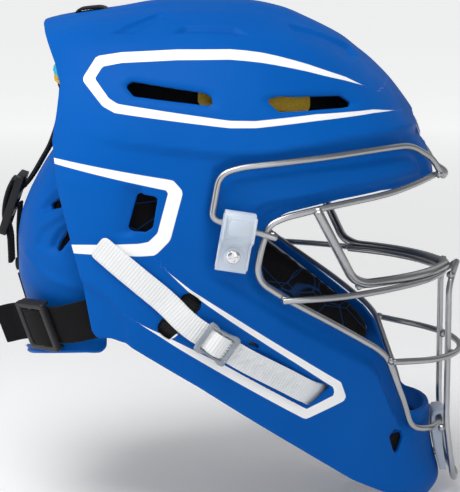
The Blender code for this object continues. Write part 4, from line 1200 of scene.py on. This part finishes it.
# ---------------------------------------------------------------- clips and screws
def build_side_clips():
    for tag, side in SIDES:
        spot = side_point(13, -7, 0, side)
        axes = side_frame(13, -7, (0.17, 1.0), side)
        profile = [
            (-9.6, 1.0), (-9.6, 3.2), (-8.8, 4.0), (6.6, 4.0), (8.0, 4.8), (11.0, 9.6), (12.4, 10.6), (23.2, 10.6),
            (25.4, 10.0), (27.3, 7.8), (27.6, 5.6), (27.6, 2.4), (25.2, 2.4), (25.2, 5.6), (24.2, 7.6),
            (22.4, 8.4), (12.8, 8.4), (11.8, 7.6), (9.2, 1.0),
        ]
        swept = (axes[0], axes[2], axes[1])
        body = prism("clip_body", profile, spot, swept, -9.4, 9.4, clear, 0.7, 3)
        ridge_outline = [(-7.5, 3.2), (-7.5, 5.0), (6.2, 5.0), (7.6, 6.0), (10.6, 11.4), (23.4, 11.4),
                         (25.6, 10.2), (25.6, 3.2)]
        ridges = [prism("clip_edge", ridge_outline, spot, swept, low, high, clear, 0.5, 2)
                  for low, high in ((-9.9, -8.2), (8.2, 9.9))]
        ring = [(5.8, 3.6), (5.8, 4.7), (5.2, 5.2), (3.1, 5.2), (3.1, 1.1)]
        boss = lathe("clip_boss", spot, axes[2], ring, clear, 36)
        pad_outline = [(13.5, -5.5), (15.5, -6.8), (21, -6.8), (22.8, -5.5)]
        pad_outline += [(a, -b) for a, b in reversed(pad_outline)]
        pad = prism("clip_pad", pad_outline, spot, axes, 10.2, 11.3, clear, 0.4, 2)
        for part in [body] + ridges:
            cut_out(baked(part), lathe("bore", spot, axes[2], [(3.0, -2), (3.0, 9)], None, 32))
        whole = smooth_by_angle(joined("side_clip_clear" + tag, [body] + ridges + [boss, pad]), 40)
        place(whole, "shell", "clear_plastic", "side_clip" + tag)
        screw("clip_screw_head" + tag, spot, axes, 4.4, 4.2, "clip_screw" + tag)
        repaint("clip_nut" + tag, zinc)


def screw(name, spot, axes, radius, base, node):
    """Pan head with a cross recess on a plain shank."""
    dome = [(2.3, base - 7.0), (2.3, base - 0.1), (radius, base), (radius, base + 0.7),
            (radius * 0.94, base + 1.4), (radius * 0.75, base + 2.0), (radius * 0.45, base + 2.3),
            (0.3, base + 2.4)]
    head = lathe(name, spot, axes[2], dome, zinc, 40)
    middle = Vector(spot) + axes[2] * (base + 2.0)
    turned = (axes[0] * 0.94 + axes[1] * 0.34).normalized()
    other = axes[2].cross(turned).normalized()
    for a, b in ((turned, other), (other, turned)):
        cut_out(head, block("cross", middle, (a, b, axes[2]), (radius * 1.25, 0.95, 2.6), None, 0))
    smooth_by_angle(head, 35)
    place(head, "shell", "fastener_steel", node)


def repaint(node, mat):
    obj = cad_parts[node]
    for slot in obj.material_slots:
        slot.link = "OBJECT"
        slot.material = mat


CHIN_SCREW = (144.1, 0.0, -157.0)
CHIN_CLIP = (
    (147.6, -166.5), (146.3, -162), (145.0, -157), (143.5, -151), (142.1, -143), (141.4, -138), (141.3, -131),
    (142.6, -127.6), (144.4, -126.4), (146.8, -125.9), (149.2, -126.4), (150.9, -127.8), (152.4, -133.5),
    (157.4, -163), (155.8, -163.4), (150.8, -134), (149.7, -130.4), (148.6, -129.4), (147, -129.0),
    (145.4, -129.4), (144.3, -130.4), (143.8, -136.4), (148.4, -137.4), (149.2, -150), (152.0, -166.5),
)


def build_chin_clip():
    axes = (Vector((1, 0, 0)), Vector((0, 0, 1)), Vector((0, 1, 0)))
    body = baked(prism("chin_clip_clear", CHIN_CLIP, (0, 0, 0), axes, -10.6, 10.6, clear, 0.5, 2))
    for radius, low, high in ((2.9, -5.0, 8.0), (4.8, 2.8, 8.0)):
        cut_out(body, lathe("bore", CHIN_SCREW, (1, 0, 0), [(radius, low), (radius, high)], None, 32))
    parts = [body]
    for low, high in ((-12.0, -10.9), (10.9, 12.0)):
        parts.append(prism("clip_rib", shrunk(CHIN_CLIP, 0.2), (0, 0, 0), axes, low, high, clear, 0.3, 2))
    whole = smooth_by_angle(joined("chin_clip_clear", parts), 40)
    place(whole, "shell", "clear_plastic", "chin_clip")
    screw_axes = (Vector((0, 1, 0)), Vector((0, 0, 1)), Vector((1, 0, 0)))
    screw("chin_screw_head", CHIN_SCREW, screw_axes, 4.0, 3.2, "chin_screw")
    repaint("chin_nut", zinc)


# ---------------------------------------------------------------- pads
def shell_patch(levels, angles, inset):
    level, angle = np.meshgrid(levels, angles, indexing="ij")
    base = shell_point(level, angle)
    e = 0.02
    a = shell_point(np.clip(level + e, 0, 15), angle) - shell_point(np.clip(level - e, 0, 15), angle)
    b = shell_point(level, angle + e) - shell_point(level, angle - e)
    normal = np.cross(a, b)
    normal /= np.maximum(np.linalg.norm(normal, axis=-1, keepdims=True), 1e-9)
    normal = facing(normal, base - head_axis(base))
    normal[level < 0.05] = (0, 0, 1)
    return base - normal * inset, normal


def pad_solid(name, points, normal, keep, thickness, lip, mat, puff=None, wrap=False):
    solid, faces, _ = moulding(points, normal, keep, thickness, lip, 5, wrap, puff)
    obj = new_object(name, solid, faces, mat)
    weld(obj, 0.00003)
    return outward(obj)


PLUMP_FRAMES = 20
PLUMP_VOXEL = 0.005   # metres


def plump(obj, cap):
    """Inflate a pad with the cloth solver and keep every point within 'cap' mm of its start."""
    remesh = obj.modifiers.new("Even mesh", "REMESH")
    remesh.mode = "VOXEL"
    remesh.voxel_size = PLUMP_VOXEL
    baked(obj)
    start = np.array([v.co for v in obj.data.vertices])
    cloth = obj.modifiers.new("Inflate", "CLOTH")
    cloth.settings.use_pressure = True
    cloth.settings.uniform_pressure_force = 4.0
    cloth.settings.effector_weights.gravity = 0
    cloth.settings.quality = 5
    cloth.settings.tension_stiffness = 12
    cloth.settings.compression_stiffness = 12
    cloth.point_cache.frame_start = 1
    cloth.point_cache.frame_end = PLUMP_FRAMES
    for step in range(1, PLUMP_FRAMES + 1):
        bpy.context.scene.frame_set(step)
    baked(obj)
    bpy.context.scene.frame_set(1)
    end = np.array([v.co for v in obj.data.vertices])
    move = end - start
    length = np.linalg.norm(move, axis=1, keepdims=True)
    move *= np.minimum(1, cap * MM / np.maximum(length, 1e-9))
    obj.data.vertices.foreach_set("co", (start + move).astype(np.float32).ravel())
    finer = obj.modifiers.new("Finer", "SUBSURF")
    finer.levels = 1
    finer.render_levels = 1
    baked(obj)
    obj.data.polygons.foreach_set("use_smooth", [True] * len(obj.data.polygons))
    return obj


def build_chin_liner():
    levels = np.linspace(12.2, 13.0, 22)
    angles = np.linspace(-0.75, 0.75, 90)
    points, normal = shell_patch(levels, angles, 4.6)
    level, angle = np.meshgrid(levels, angles, indexing="ij")
    keep = np.minimum.reduce([(level - 12.42) * 28, (12.96 - level) * 28, (0.72 - np.abs(angle)) * 90])
    obj = pad_solid("chin_liner", points, normal, keep, 3.8, 1.6, liner)
    place(obj, "shell", "black_liner", "chin_pad")


def groove(value, width, depth):
    return depth * np.exp(-(value / width) ** 2)


def seams(value, places, width, depth=-2.6):
    """Sewn grooves across a pad."""
    return sum(groove(value - at, width, depth) for at in places)


def crown_puff(verts):
    sewn = seams(verts[:, 1], (24, -24), 3.5, -3.0) + seams(verts[:, 0], (5, -50), 3.5, -3.0)
    return 1.5 + np.maximum(sewn, -3.4)


def brow_puff(verts):
    return 0.8 + seams(verts[:, 1], (22, -22), 3.0) + seams(np.abs(verts[:, 1]), (55,), 3.0)


def jaw_puff(verts):
    along = verts[:, 0] * 0.83 - verts[:, 2] * 0.56
    return 1.0 + seams(along, (34, 74), 2.6, -2.4)


def back_puff(verts):
    return 1.0 + seams(verts[:, 1], (26, -26), 3.0) + seams(verts[:, 2], (-14,), 3.0)


def build_crown_foam():
    levels = np.linspace(0, 6.95, 74)
    angles = np.linspace(0, 2 * math.pi, 150, endpoint=False)
    trims = (
        ("crown_foam_cyan", cyan, "cyan_foam", "crown_pad_outer", 5.0, 6.0, 6.3, 97.0, 82.0, 6.0),
        ("crown_foam_yellow", yellow, "yellow_foam", "crown_pad_middle", 11.6, 6.0, 6.7, 92.0, 68.0, -8.0),
        ("crown_liner", liner, "black_liner", "crown_pad_inner", 18.8, 8.0, 6.85, 86.0, 66.0, None),
    )
    for name, mat, slot, node, inset, thickness, last, low_rear, low_front, window_end in trims:
        points, normal = shell_patch(levels, angles, inset)
        level = np.repeat(levels[:, None], len(angles), 1)
        points[level < 0.05] = (-1.5, 0, 139.4 - inset)
        x, y, z = points[..., 0], points[..., 1], points[..., 2]
        # the foam's side view: its rear and lower edges, and the room for the crown strap
        fall = (low_front - low_rear) / 208
        rear = [(-230, 160), (-112, 160), (-107, 131), (-100, 117), (-95, 105), (-98, 102), (-98, low_rear),
                (150, low_rear + 248 * fall), (150, 20), (-230, 20)]
        keep = (last - level) * 17.0
        keep = np.minimum(keep, rounded_distance(x, z, rear, 1.5))
        strap = np.maximum(np.abs(x + 83) - 30, np.abs(y) - 14)
        keep = np.minimum(keep, strap)
        if window_end is not None:
            window = rounded_distance(x, z, ((-60, 60), (-60, 99), (window_end, 93), (window_end, 60)), 2)
            brow = rounded_distance(x, z, ((60, 40), (60, 90), (150, 90), (150, 40)), 2)
            keep = np.minimum.reduce([keep, window, brow])
            obj = pad_solid(name, points, normal, keep, thickness, 1.0, mat, wrap=True)
        else:
            obj = pad_solid(name, points, normal, keep, thickness - 1.0, 3.5, mat, crown_puff, wrap=True)
        place(obj, "shell", slot, node)


def build_forehead_cushion():
    levels = np.linspace(6.9, 8.1, 34)
    points, normal = shell_patch(levels, np.linspace(-1.08, 1.08, 90), 7.0)
    level = levels[:, None]
    girth = np.abs(points[..., 1])
    keep = np.minimum((level - 6.97) * 28, (8.03 - level) * 30)
    keep = np.minimum(keep, 88 - girth)
    obj = pad_solid("forehead_cushion", points, normal, keep, 9.0, 4.0, liner, brow_puff)
    plump(obj, 2.5)
    place(obj, "shell", "black_liner", "forehead_pad")


def build_jaw_cushions():
    for tag, side in SIDES:
        angles = side * np.linspace(0.26, 2.0, 104)
        levels = np.linspace(7.6, 12.4, 118)
        for name, mat, slot, node, inset, thick, lip, outline in (
            ("jaw_base_foam", grey_foam, "grey_foam", "jaw_foam", 8.8, 4.8, 1.2, JAW_FOAM),
            ("jaw_cushion", lined, "black_liner", "jaw_pad", 14.4, 9.0, 4.0, JAW_CUSHION),
        ):
            points, normal = shell_patch(levels, angles, inset)
            x, z = points[..., 0], points[..., 2]
            keep = -rounded_distance(x, z, outline, 4)
            keep = np.minimum(keep, np.abs(points[..., 1]) - 28)
            lined_pad = name == "jaw_cushion"
            puff = jaw_puff if lined_pad else None
            obj = pad_solid(name + tag, points, normal, keep, thick, lip, mat, puff)
            if lined_pad:
                plump(obj, 2.0)
            place(obj, "shell", slot, node + tag)


def build_back_cushion():
    points = np.array([plate_row(z, 6.0, 0.75, 80) for z in np.linspace(34, -63, 60)])
    normal = grid_normals(points)
    normal = facing(normal, points - np.array((PLATE_CENTRE_X, 0, 0)))
    y, z = points[..., 1], points[..., 2]
    keep = -rounded_distance(y, z, ((-66, 33), (66, 33), (66, -62), (-66, -62)), 14)
    obj = pad_solid("back_cushion", points, normal, keep, 9.0, 4.0, liner, back_puff)
    plump(obj, 2.5)
    place(obj, "back_plate", "black_liner", "back_pad")


def build_chin_cup():
    rows = np.linspace(0, 1, 22)
    turns = np.radians(np.linspace(-74, 74, 70))
    drop, turn = np.meshgrid(rows, turns, indexing="ij")
    radius = 33 - 15 * drop**2
    points = np.stack([82 + radius * np.cos(turn), radius * np.sin(turn), -104 - 24 * drop], -1)
    normal = grid_normals(points)
    normal = facing(normal, points - np.array((82, 0, -116)))
    s = turn * radius
    keep = -rounded_distance(s, -24 * drop, ((-42, 0), (42, 0), (38, -24), (-38, -24)), 6)
    for centre in (-18, -9, 0, 9, 18):
        hole = np.hypot((s - centre), (-24 * drop + 12) * 0.8) - 2.2
        keep = np.minimum(keep, hole)
    solid, faces, _ = moulding(points, normal, keep, 3.0, 0.8)
    obj = outward(new_object("chin_cup_moulding", solid, faces, black_rubber))
    weld(obj)
    place(obj, "shell", "black_rubber", "chin_cup")


# ---------------------------------------------------------------- chin straps
STRAP_TAIL_END = (-67.0, -1.0)
STRAP_MIDDLE = (3.2, -59.6)
STRAP_FRONT_END = (63.5, -98.5)
STRAP_LIFT = 4.2


def strap_at(fraction):
    first, last = (STRAP_TAIL_END, STRAP_MIDDLE) if fraction < 1 else (STRAP_MIDDLE, STRAP_FRONT_END)
    part = fraction if fraction < 1 else fraction - 1
    return first[0] + (last[0] - first[0]) * part, first[1] + (last[1] - first[1]) * part


def raised(centre, axes, stations):
    """Points along a strap's own axis, each with its height over the strap's middle."""
    return [centre + axes[0] * along + axes[2] * lift for along, lift in stations]


def ribs(s, v):
    return 0.20 * np.abs(np.sin(math.pi * s / 1.9)) - 0.12


def round_end(s, length):
    return 0.62 + 0.38 * np.sqrt(1 - (1 - np.clip(s / 4.0, 0, 1)) ** 2)


def printed(s, v):
    """Ribs, and plain slanted bars with a hollow in each."""
    bars = np.cos(2 * math.pi * (s + 0.45 * v) / 7.5)
    hollow = ramp(-np.abs(v), -2.4, -1.6) * ramp(bars, 0.55, 0.75)
    zone = ramp(-np.abs(v), -5.6, -5.0) * ramp(s, 14, 15) * ramp(-s, -64, -62)
    return 0.14 * np.abs(np.sin(math.pi * s / 1.9)) - 0.07 + 0.55 * zone * (ramp(bars, 0.15, 0.45) - 0.75 * hollow)


def build_chin_straps():
    toward = (0.83, -0.56)
    for tag, side in SIDES:
        axes = side_frame(*STRAP_MIDDLE, toward, side)
        centre = side_point(*STRAP_MIDDLE, STRAP_LIFT, side)
        outward_axis = axes[2]
        ahead = centre + axes[0] * 20.5
        behind = centre - axes[0] * 20.5
        parts = (0.0, 0.2, 0.4, 0.58)
        tail = [side_point(*strap_at(f), 1.7, side) for f in parts] + [behind, centre - axes[0] * 1.0]
        normals = [side_frame(*strap_at(f), toward, side)[2] for f in parts] + [outward_axis] * 2
        obj = webbing("ribbed_strap" + tag, tail, normals, *CHIN_WEB, white_web, 0.24, 11, ribs, round_end)
        place(obj, "shell", "white_webbing", "chin_strap_tail" + tag)

        wall = side_frame(*strap_at(1.85), toward, side)[2]
        inner = Vector((0.75, side * 0.66, 0.05)).normalized()
        front = [centre - axes[0] * 0.6, ahead, side_point(*strap_at(1.72), 1.0, side),
                 side_point(57.5, -94.6, 0.9, side), side_point(65.0, -99.5, -5.6, side),
                 side_point(76.0, -105.5, -9.8, side), Vector((91.0, side * 51.0, -110)),
                 Vector((98.0, side * 36.0, -111))]
        normals = [outward_axis, outward_axis, wall, wall, wall, inner, inner, inner]
        obj = webbing("printed_strap" + tag, front, normals, *CHIN_WEB, print_web, 0.34, 33, printed, None, 6)
        place(obj, "shell", "white_webbing", "chin_strap_front" + tag)

        hump = raised(centre, axes, ((-8.6, 2.3), (-6.4, 2.5), (-3.1, 4.6), (0.0, 5.4), (3.1, 4.6), (6.4, 2.5),
                                     (8.6, 2.3)))
        obj = webbing("strap_over_bar" + tag, hump, [outward_axis] * 7, 13.4, 1.3, white_web, 0.24, 11, ribs,
                      None, 4)
        place(obj, "chin_slider" + tag, "white_webbing")
        slider = slider_frame("chin_slider_frame" + tag, centre, axes, smoky, 22.0, 10.3, 1.4, 4.0, 3.0, True)
        place(slider, "chin_slider" + tag, "grey_buckle", "chin_strap_slider" + tag)
        build_keeper(tag, side)


def slider_frame(name, centre, axes, mat, length, half, low, high, rim, teeth):
    """Three-bar slider with waisted sides; the middle bar sits under the webbing's hump."""
    reach = length / 2
    waist = half - (1.4 if teeth else 0.0)
    outline = [(-reach, -half + 1.2), (-reach + 1.2, -half), (-reach + 4.2, -half), (-3.5, -waist), (3.5, -waist),
               (reach - 4.2, -half), (reach - 1.2, -half), (reach, -half + 1.2)]
    outline += [(a, -b) for a, b in reversed(outline)]
    top = prism(name, outline, centre, axes, low, high, mat, 0, 1)
    inner = half - rim
    for a, b in ((-reach + rim + 0.4, -1.7), (1.7, reach - rim - 0.4)):
        hole = [(a, -inner), (b, -inner), (b, inner), (a, inner)]
        cut_out(top, prism("window", hole, centre, axes, low - 3, high + 3, None, 0))
    soften(top, 0.8, 3)
    pieces = [top]
    for sign in (-1, 1):
        end, outer, inside = reach - 1.6, sign * (half - 0.3), sign * (half - 2.3)
        middle = sign * (waist - 0.2)
        rail = [(-end, outer), (-3.0, middle), (3.0, middle), (end, outer), (end, inside), (-end, inside)]
        pieces.append(prism("rail", rail, centre, axes, -1.3, low + 0.5, mat, 0.5, 2))
    if teeth:
        for k in range(7):
            b = -inner + 1.0 + k * (2 * inner - 2.0) / 6
            spot = centre + axes[0] * (reach - 4.0) + axes[1] * b + axes[2] * (high - 0.7)
            pieces.append(block("tooth", spot, axes, (1.6, 0.9, 1.1), mat, 0.2))
    return smooth_by_angle(joined(name, pieces), 40)


def build_keeper(tag, side):
    middle = (-18.7, -44.5)
    reach = (0.64, 0.77)
    stations = ((-23, -6.3), (-14, -6.0), (-9.5, -2.4), (-4, -1.2), (4, -1.2), (9.5, -2.4), (14, -6.0), (23, -6.3))
    centres = []
    normals = []
    for along, out in stations:
        spot = (middle[0] + reach[0] * along, middle[1] + reach[1] * along)
        centres.append(side_point(*spot, out, side))
        normals.append(side_frame(*spot, reach, side)[2])
    obj = webbing("keeper_webbing" + tag, centres, normals, 11.6, 1.4, black_web, 0.8, 9, None, None, 5)
    place(obj, "shell", "black_webbing", "strap_keeper" + tag)


# ---------------------------------------------------------------- rear elastics
def selvedge(s, v):
    return 0.18 * ramp(np.abs(v), 10.4, 11.2) + 0.05 * np.sin(2 * math.pi * v / 1.6)


def square_end(s, length):
    return np.where(s > length - 1.0, 0.985, 1.0)


def build_rear_elastics():
    for tag, side in SIDES:
        spot = (-100.0, -53.5)
        axes = side_frame(*spot, (-1.0, -0.10), side, plate_half_width)
        centre = side_point(*spot, 6.6, side, plate_half_width)
        root = side_point(-48, -44, -9.5, side)
        held = side_point(-62, -46, -9.5, side)
        wall = side_frame(-55, -45, (-1, -0.1), side)[2]
        band = [root, held, centre - axes[0] * 19, centre - axes[0] * 0.6]
        normals = [wall, wall, axes[2], axes[2]]
        obj = webbing("elastic_band" + tag, band, normals, *ELASTIC_WEB, elastic, 1.0, 41, selvedge)
        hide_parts("rear_elastic" + tag)
        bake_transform(obj)
        tail = raised(centre, axes, ((0.6, 0), (20, 0), (25, 1.6), (33.5, 8.2)))
        obj = webbing("elastic_free_end" + tag, tail, [axes[2]] * 4, *ELASTIC_WEB, elastic, 1.0, 41, selvedge,
                      square_end)
        place(obj, "back_plate", "black_webbing", "elastic_tail" + tag)
        hump = raised(centre, axes, ((-10.6, 2.6), (-9.4, 3.9), (-5.0, 4.9), (0.0, 5.2), (5.0, 4.9), (9.4, 3.9),
                                     (10.6, 2.6)))
        obj = webbing("elastic_over_bar" + tag, hump, [axes[2]] * 7, 25.0, 1.8, elastic, 1.0, 41, selvedge,
                      None, 4)
        place(obj, "elastic_slider" + tag, "black_webbing")
        slider = slider_frame("elastic_slider_frame" + tag, centre, axes, black_plastic, 28.0, 16.4, 1.6, 5.6, 3.6,
                              False)
        place(slider, "elastic_slider" + tag, "black_plastic", "elastic_slider" + tag)
        repaint("elastic_rivet" + tag, zinc)


# ---------------------------------------------------------------- crown strap
def flat_band(name, route, body, node, thickness=1.8, fillet=6):
    """A run of the crown strap in the middle plane, from (x, z) points."""
    centres = [Vector((x, 0, z)) for x, z in route]
    normals = []
    for i in range(len(centres)):
        along = centres[min(i + 1, len(centres) - 1)] - centres[max(i - 1, 0)]
        normals.append(Vector((-along.z, 0, along.x)).normalized())
    obj = webbing(name, centres, normals, CROWN_WEB_WIDTH, thickness, black_web, 0.5, 21, chunky, None, fillet)
    place(obj, body, "black_webbing", node)


def chunky(s, v):
    """Coarse weave: ribs with yarns that shift by half from one rib to the next."""
    yarns = np.sin(math.pi * (v / 2.5 + np.floor(s / 2.2) * 0.5))
    return 0.22 * np.abs(np.sin(math.pi * s / 2.2)) + 0.10 * np.abs(yarns)


def build_crown_strap():
    over = [(-58, 121.5), (-64, 123), (-67.2, 127), (-67.9, 131), (-69.4, 133.6), (-73, 134.6), (-80, 134.0),
            (-85.8, 133.2), (-88.5, 129.8), (-88.9, 125.5), (-90.2, 122.5), (-92.5, 120.3)]
    flat_band("strap_through_crown", over, "shell", "crown_strap_loop", fillet=3)
    down = [(-94.8, 116.6), (-97, 108), (-97.5, 85), (-100.2, 62), (-106.2, 46), (-111, 38), (-115.6, 30),
            (-119.6, 24), (-122.4, 20.5), (-125.2, 18.2)]
    flat_band("strap_down_back", down, "back_plate", "crown_strap_run", 2.8)
    low = [(-126.3, 8), (-127.4, -5), (-127.5, -20), (-127.0, -31), (-125.0, -41)]
    flat_band("plate_anchor_webbing", low, "back_plate", "plate_webbing")
    tail = [(-129.6, 24.5), (-133.2, 18), (-135.6, 9), (-136.3, 2), (-135.8, -3), (-134.0, -8.5), (-133.0, -14),
            (-132.8, -22), (-132.6, -30)]
    flat_band("strap_free_end", tail, "ladder_lock", "crown_strap_tail", 2.6, 4)
    repaint("plate_rivet", black_plastic)
    top = Vector((-124.5, 0, 26))
    along = Vector((-12.5, 0, -36)).normalized()
    across = Vector((0, 1, 0))
    normal = across.cross(along).normalized()
    if normal.x > 0:
        normal = -normal
    axes = (along, across, normal)
    outline = [(-1.5, -13.4), (0, -14.7), (30, -14.7), (36, -13.8), (39.2, -12)]
    outline += [(a, -b) for a, b in reversed(outline)]
    plate = prism("ladder_lock_frame", outline, top, axes, -2.5, 2.5, black_plastic, 0, 1)
    for a, b in ((3.2, 10.6), (14.4, 22.6), (26.4, 35.6)):
        hole = [(a, -11), (b, -11), (b, 11), (a, 11)]
        cut_out(plate, prism("window", hole, top, axes, -4, 4, None, 0))
    soften(plate, 0.8, 3)
    parts = [plate]
    for place_at, thick in ((1.2, 3.4), (24.5, 3.6), (37.2, 3.4)):
        ends = [tuple(top + along * place_at + across * reach) for reach in (-11.8, 11.8)]
        parts.append(tube("bar", ends, thick / 2, black_plastic, 1, 2, 14))
    whole = smooth_by_angle(joined("ladder_lock_frame", parts), 40)
    place(whole, "ladder_lock", "black_plastic", "ladder_lock")


def build_badge():
    profile = [(9.5, -2.6), (9.9, -2.3), (9.9, -1.2), (9.4, -0.85), (8.7, -0.55), (8.3, -0.75), (6.2, -0.1),
               (5.8, 0.3), (4.6, 0.6), (4.2, 0.4), (2.2, 0.75), (0.3, 0.85)]
    obj = lathe("round_badge", BADGE_PLACE, BADGE_AXIS, profile, badge_material(), 72)
    co = np.array([v.co for v in obj.data.vertices]) / MM - np.array(BADGE_PLACE)
    along = co @ np.array(BADGE_AXIS)
    radial = np.linalg.norm(co - along[:, None] * np.array(BADGE_AXIS), axis=1)
    obj.data.attributes.new("badge_radius", "FLOAT", "POINT").data.foreach_set("value", radial.astype(np.float32))
    smooth_by_angle(obj, 30)
    place(obj, "shell", "badge", "brow_badge")


# ---------------------------------------------------------------- stage, light, camera
def aim(obj, target):
    direction = Vector(target) - obj.location
    obj.rotation_euler = direction.to_track_quat("-Z", "Y").to_euler()


def area_light(name, where, target, size, power):
    data = bpy.data.lights.new(name, "AREA")
    data.shape = "RECTANGLE"
    data.size, data.size_y = size
    data.energy = power
    obj = linked(name, data)
    obj.location = where
    aim(obj, target)


FLOOR_Z = -0.1835   # metres, just under the chin
FLOOR_REACH = 15.0


def build_stage():
    """A wide paper floor with a painted glow, weak near the middle and strong far away, so it meets every view,
    and four soft lights.
    """
    corners = [(FLOOR_REACH * a, FLOOR_REACH * b, FLOOR_Z) for a, b in ((-1, -1), (1, -1), (1, 1), (-1, 1))]
    n = Nodes("Pale paper with painted glow", (0.86, 0.86, 0.86), 0.9)
    n.base(n.blend(n.noise(3.0, 2.0), (0.85, 0.85, 0.855), (0.88, 0.88, 0.88)))
    away = n.add("ShaderNodeVectorMath", operation="LENGTH")
    n.link(n.where(), away.inputs[0])
    # Painted glow: the floor emits white light, weak near the middle and strong far away.
    n.shader.inputs["Emission Color"].default_value = (1.0, 1.0, 1.0, 1.0)
    n.link(n.spread(away.outputs["Value"], 0.5, 2.2, 0.12, 0.62), n.shader.inputs["Emission Strength"])
    floor = new_object("paper_floor", np.array(corners) / MM, [(0, 1, 2, 3)], n.mat)
    world = bpy.data.worlds.new("Studio")
    bpy.context.scene.world = world
    world.use_nodes = True
    back = world.node_tree.nodes["Background"]
    back.inputs["Color"].default_value = (0.97, 0.985, 1.0, 1)
    back.inputs["Strength"].default_value = 0.27
    centre = (0, 0, 0)
    area_light("Overhead softbox", (-0.35, -0.55, 1.25), centre, (1.2, 0.9), 20)
    area_light("Front softbox", (0.6, -1.5, 0.45), centre, (0.9, 1.2), 4.5)
    area_light("Rear strip", (-1.1, -0.5, 0.35), centre, (0.4, 1.2), 4)
    area_light("Far fill", (0.9, 1.0, 0.7), centre, (0.8, 0.8), 1.2)


# The photographer's place: degrees round from the right side and up, metres away, and what the lens points at
CAMERA_ROUND = 1.0
CAMERA_RISE = 9.7
CAMERA_DISTANCE = 1.3
CAMERA_TARGET = Vector((0.00975, 0, -0.02015))
SENSOR_MM = 36.0
LENS_MM = 156.52174


def build_camera():
    azimuth = math.radians(CAMERA_ROUND)
    rise = math.radians(CAMERA_RISE)
    back = Vector((math.sin(azimuth) * math.cos(rise), -math.cos(azimuth) * math.cos(rise), math.sin(rise)))
    data = bpy.data.cameras.new("Camera")
    data.sensor_fit = "HORIZONTAL"
    data.sensor_width = SENSOR_MM
    data.lens = LENS_MM
    camera = linked("Camera", data)
    camera.location = CAMERA_TARGET + back * CAMERA_DISTANCE
    camera.rotation_euler = (-back).to_track_quat("-Z", "Y").to_euler()
    bpy.context.scene.camera = camera


bpy.context.scene.view_settings.view_transform = "Standard"
build_camera()
build_stage()
build_shell()
build_back_plate()
build_cage()
build_side_clips()
build_chin_clip()
build_crown_foam()
build_forehead_cushion()
build_jaw_cushions()
build_back_cushion()
build_chin_liner()
build_chin_cup()
build_chin_straps()
build_rear_elastics()
build_crown_strap()
build_badge()
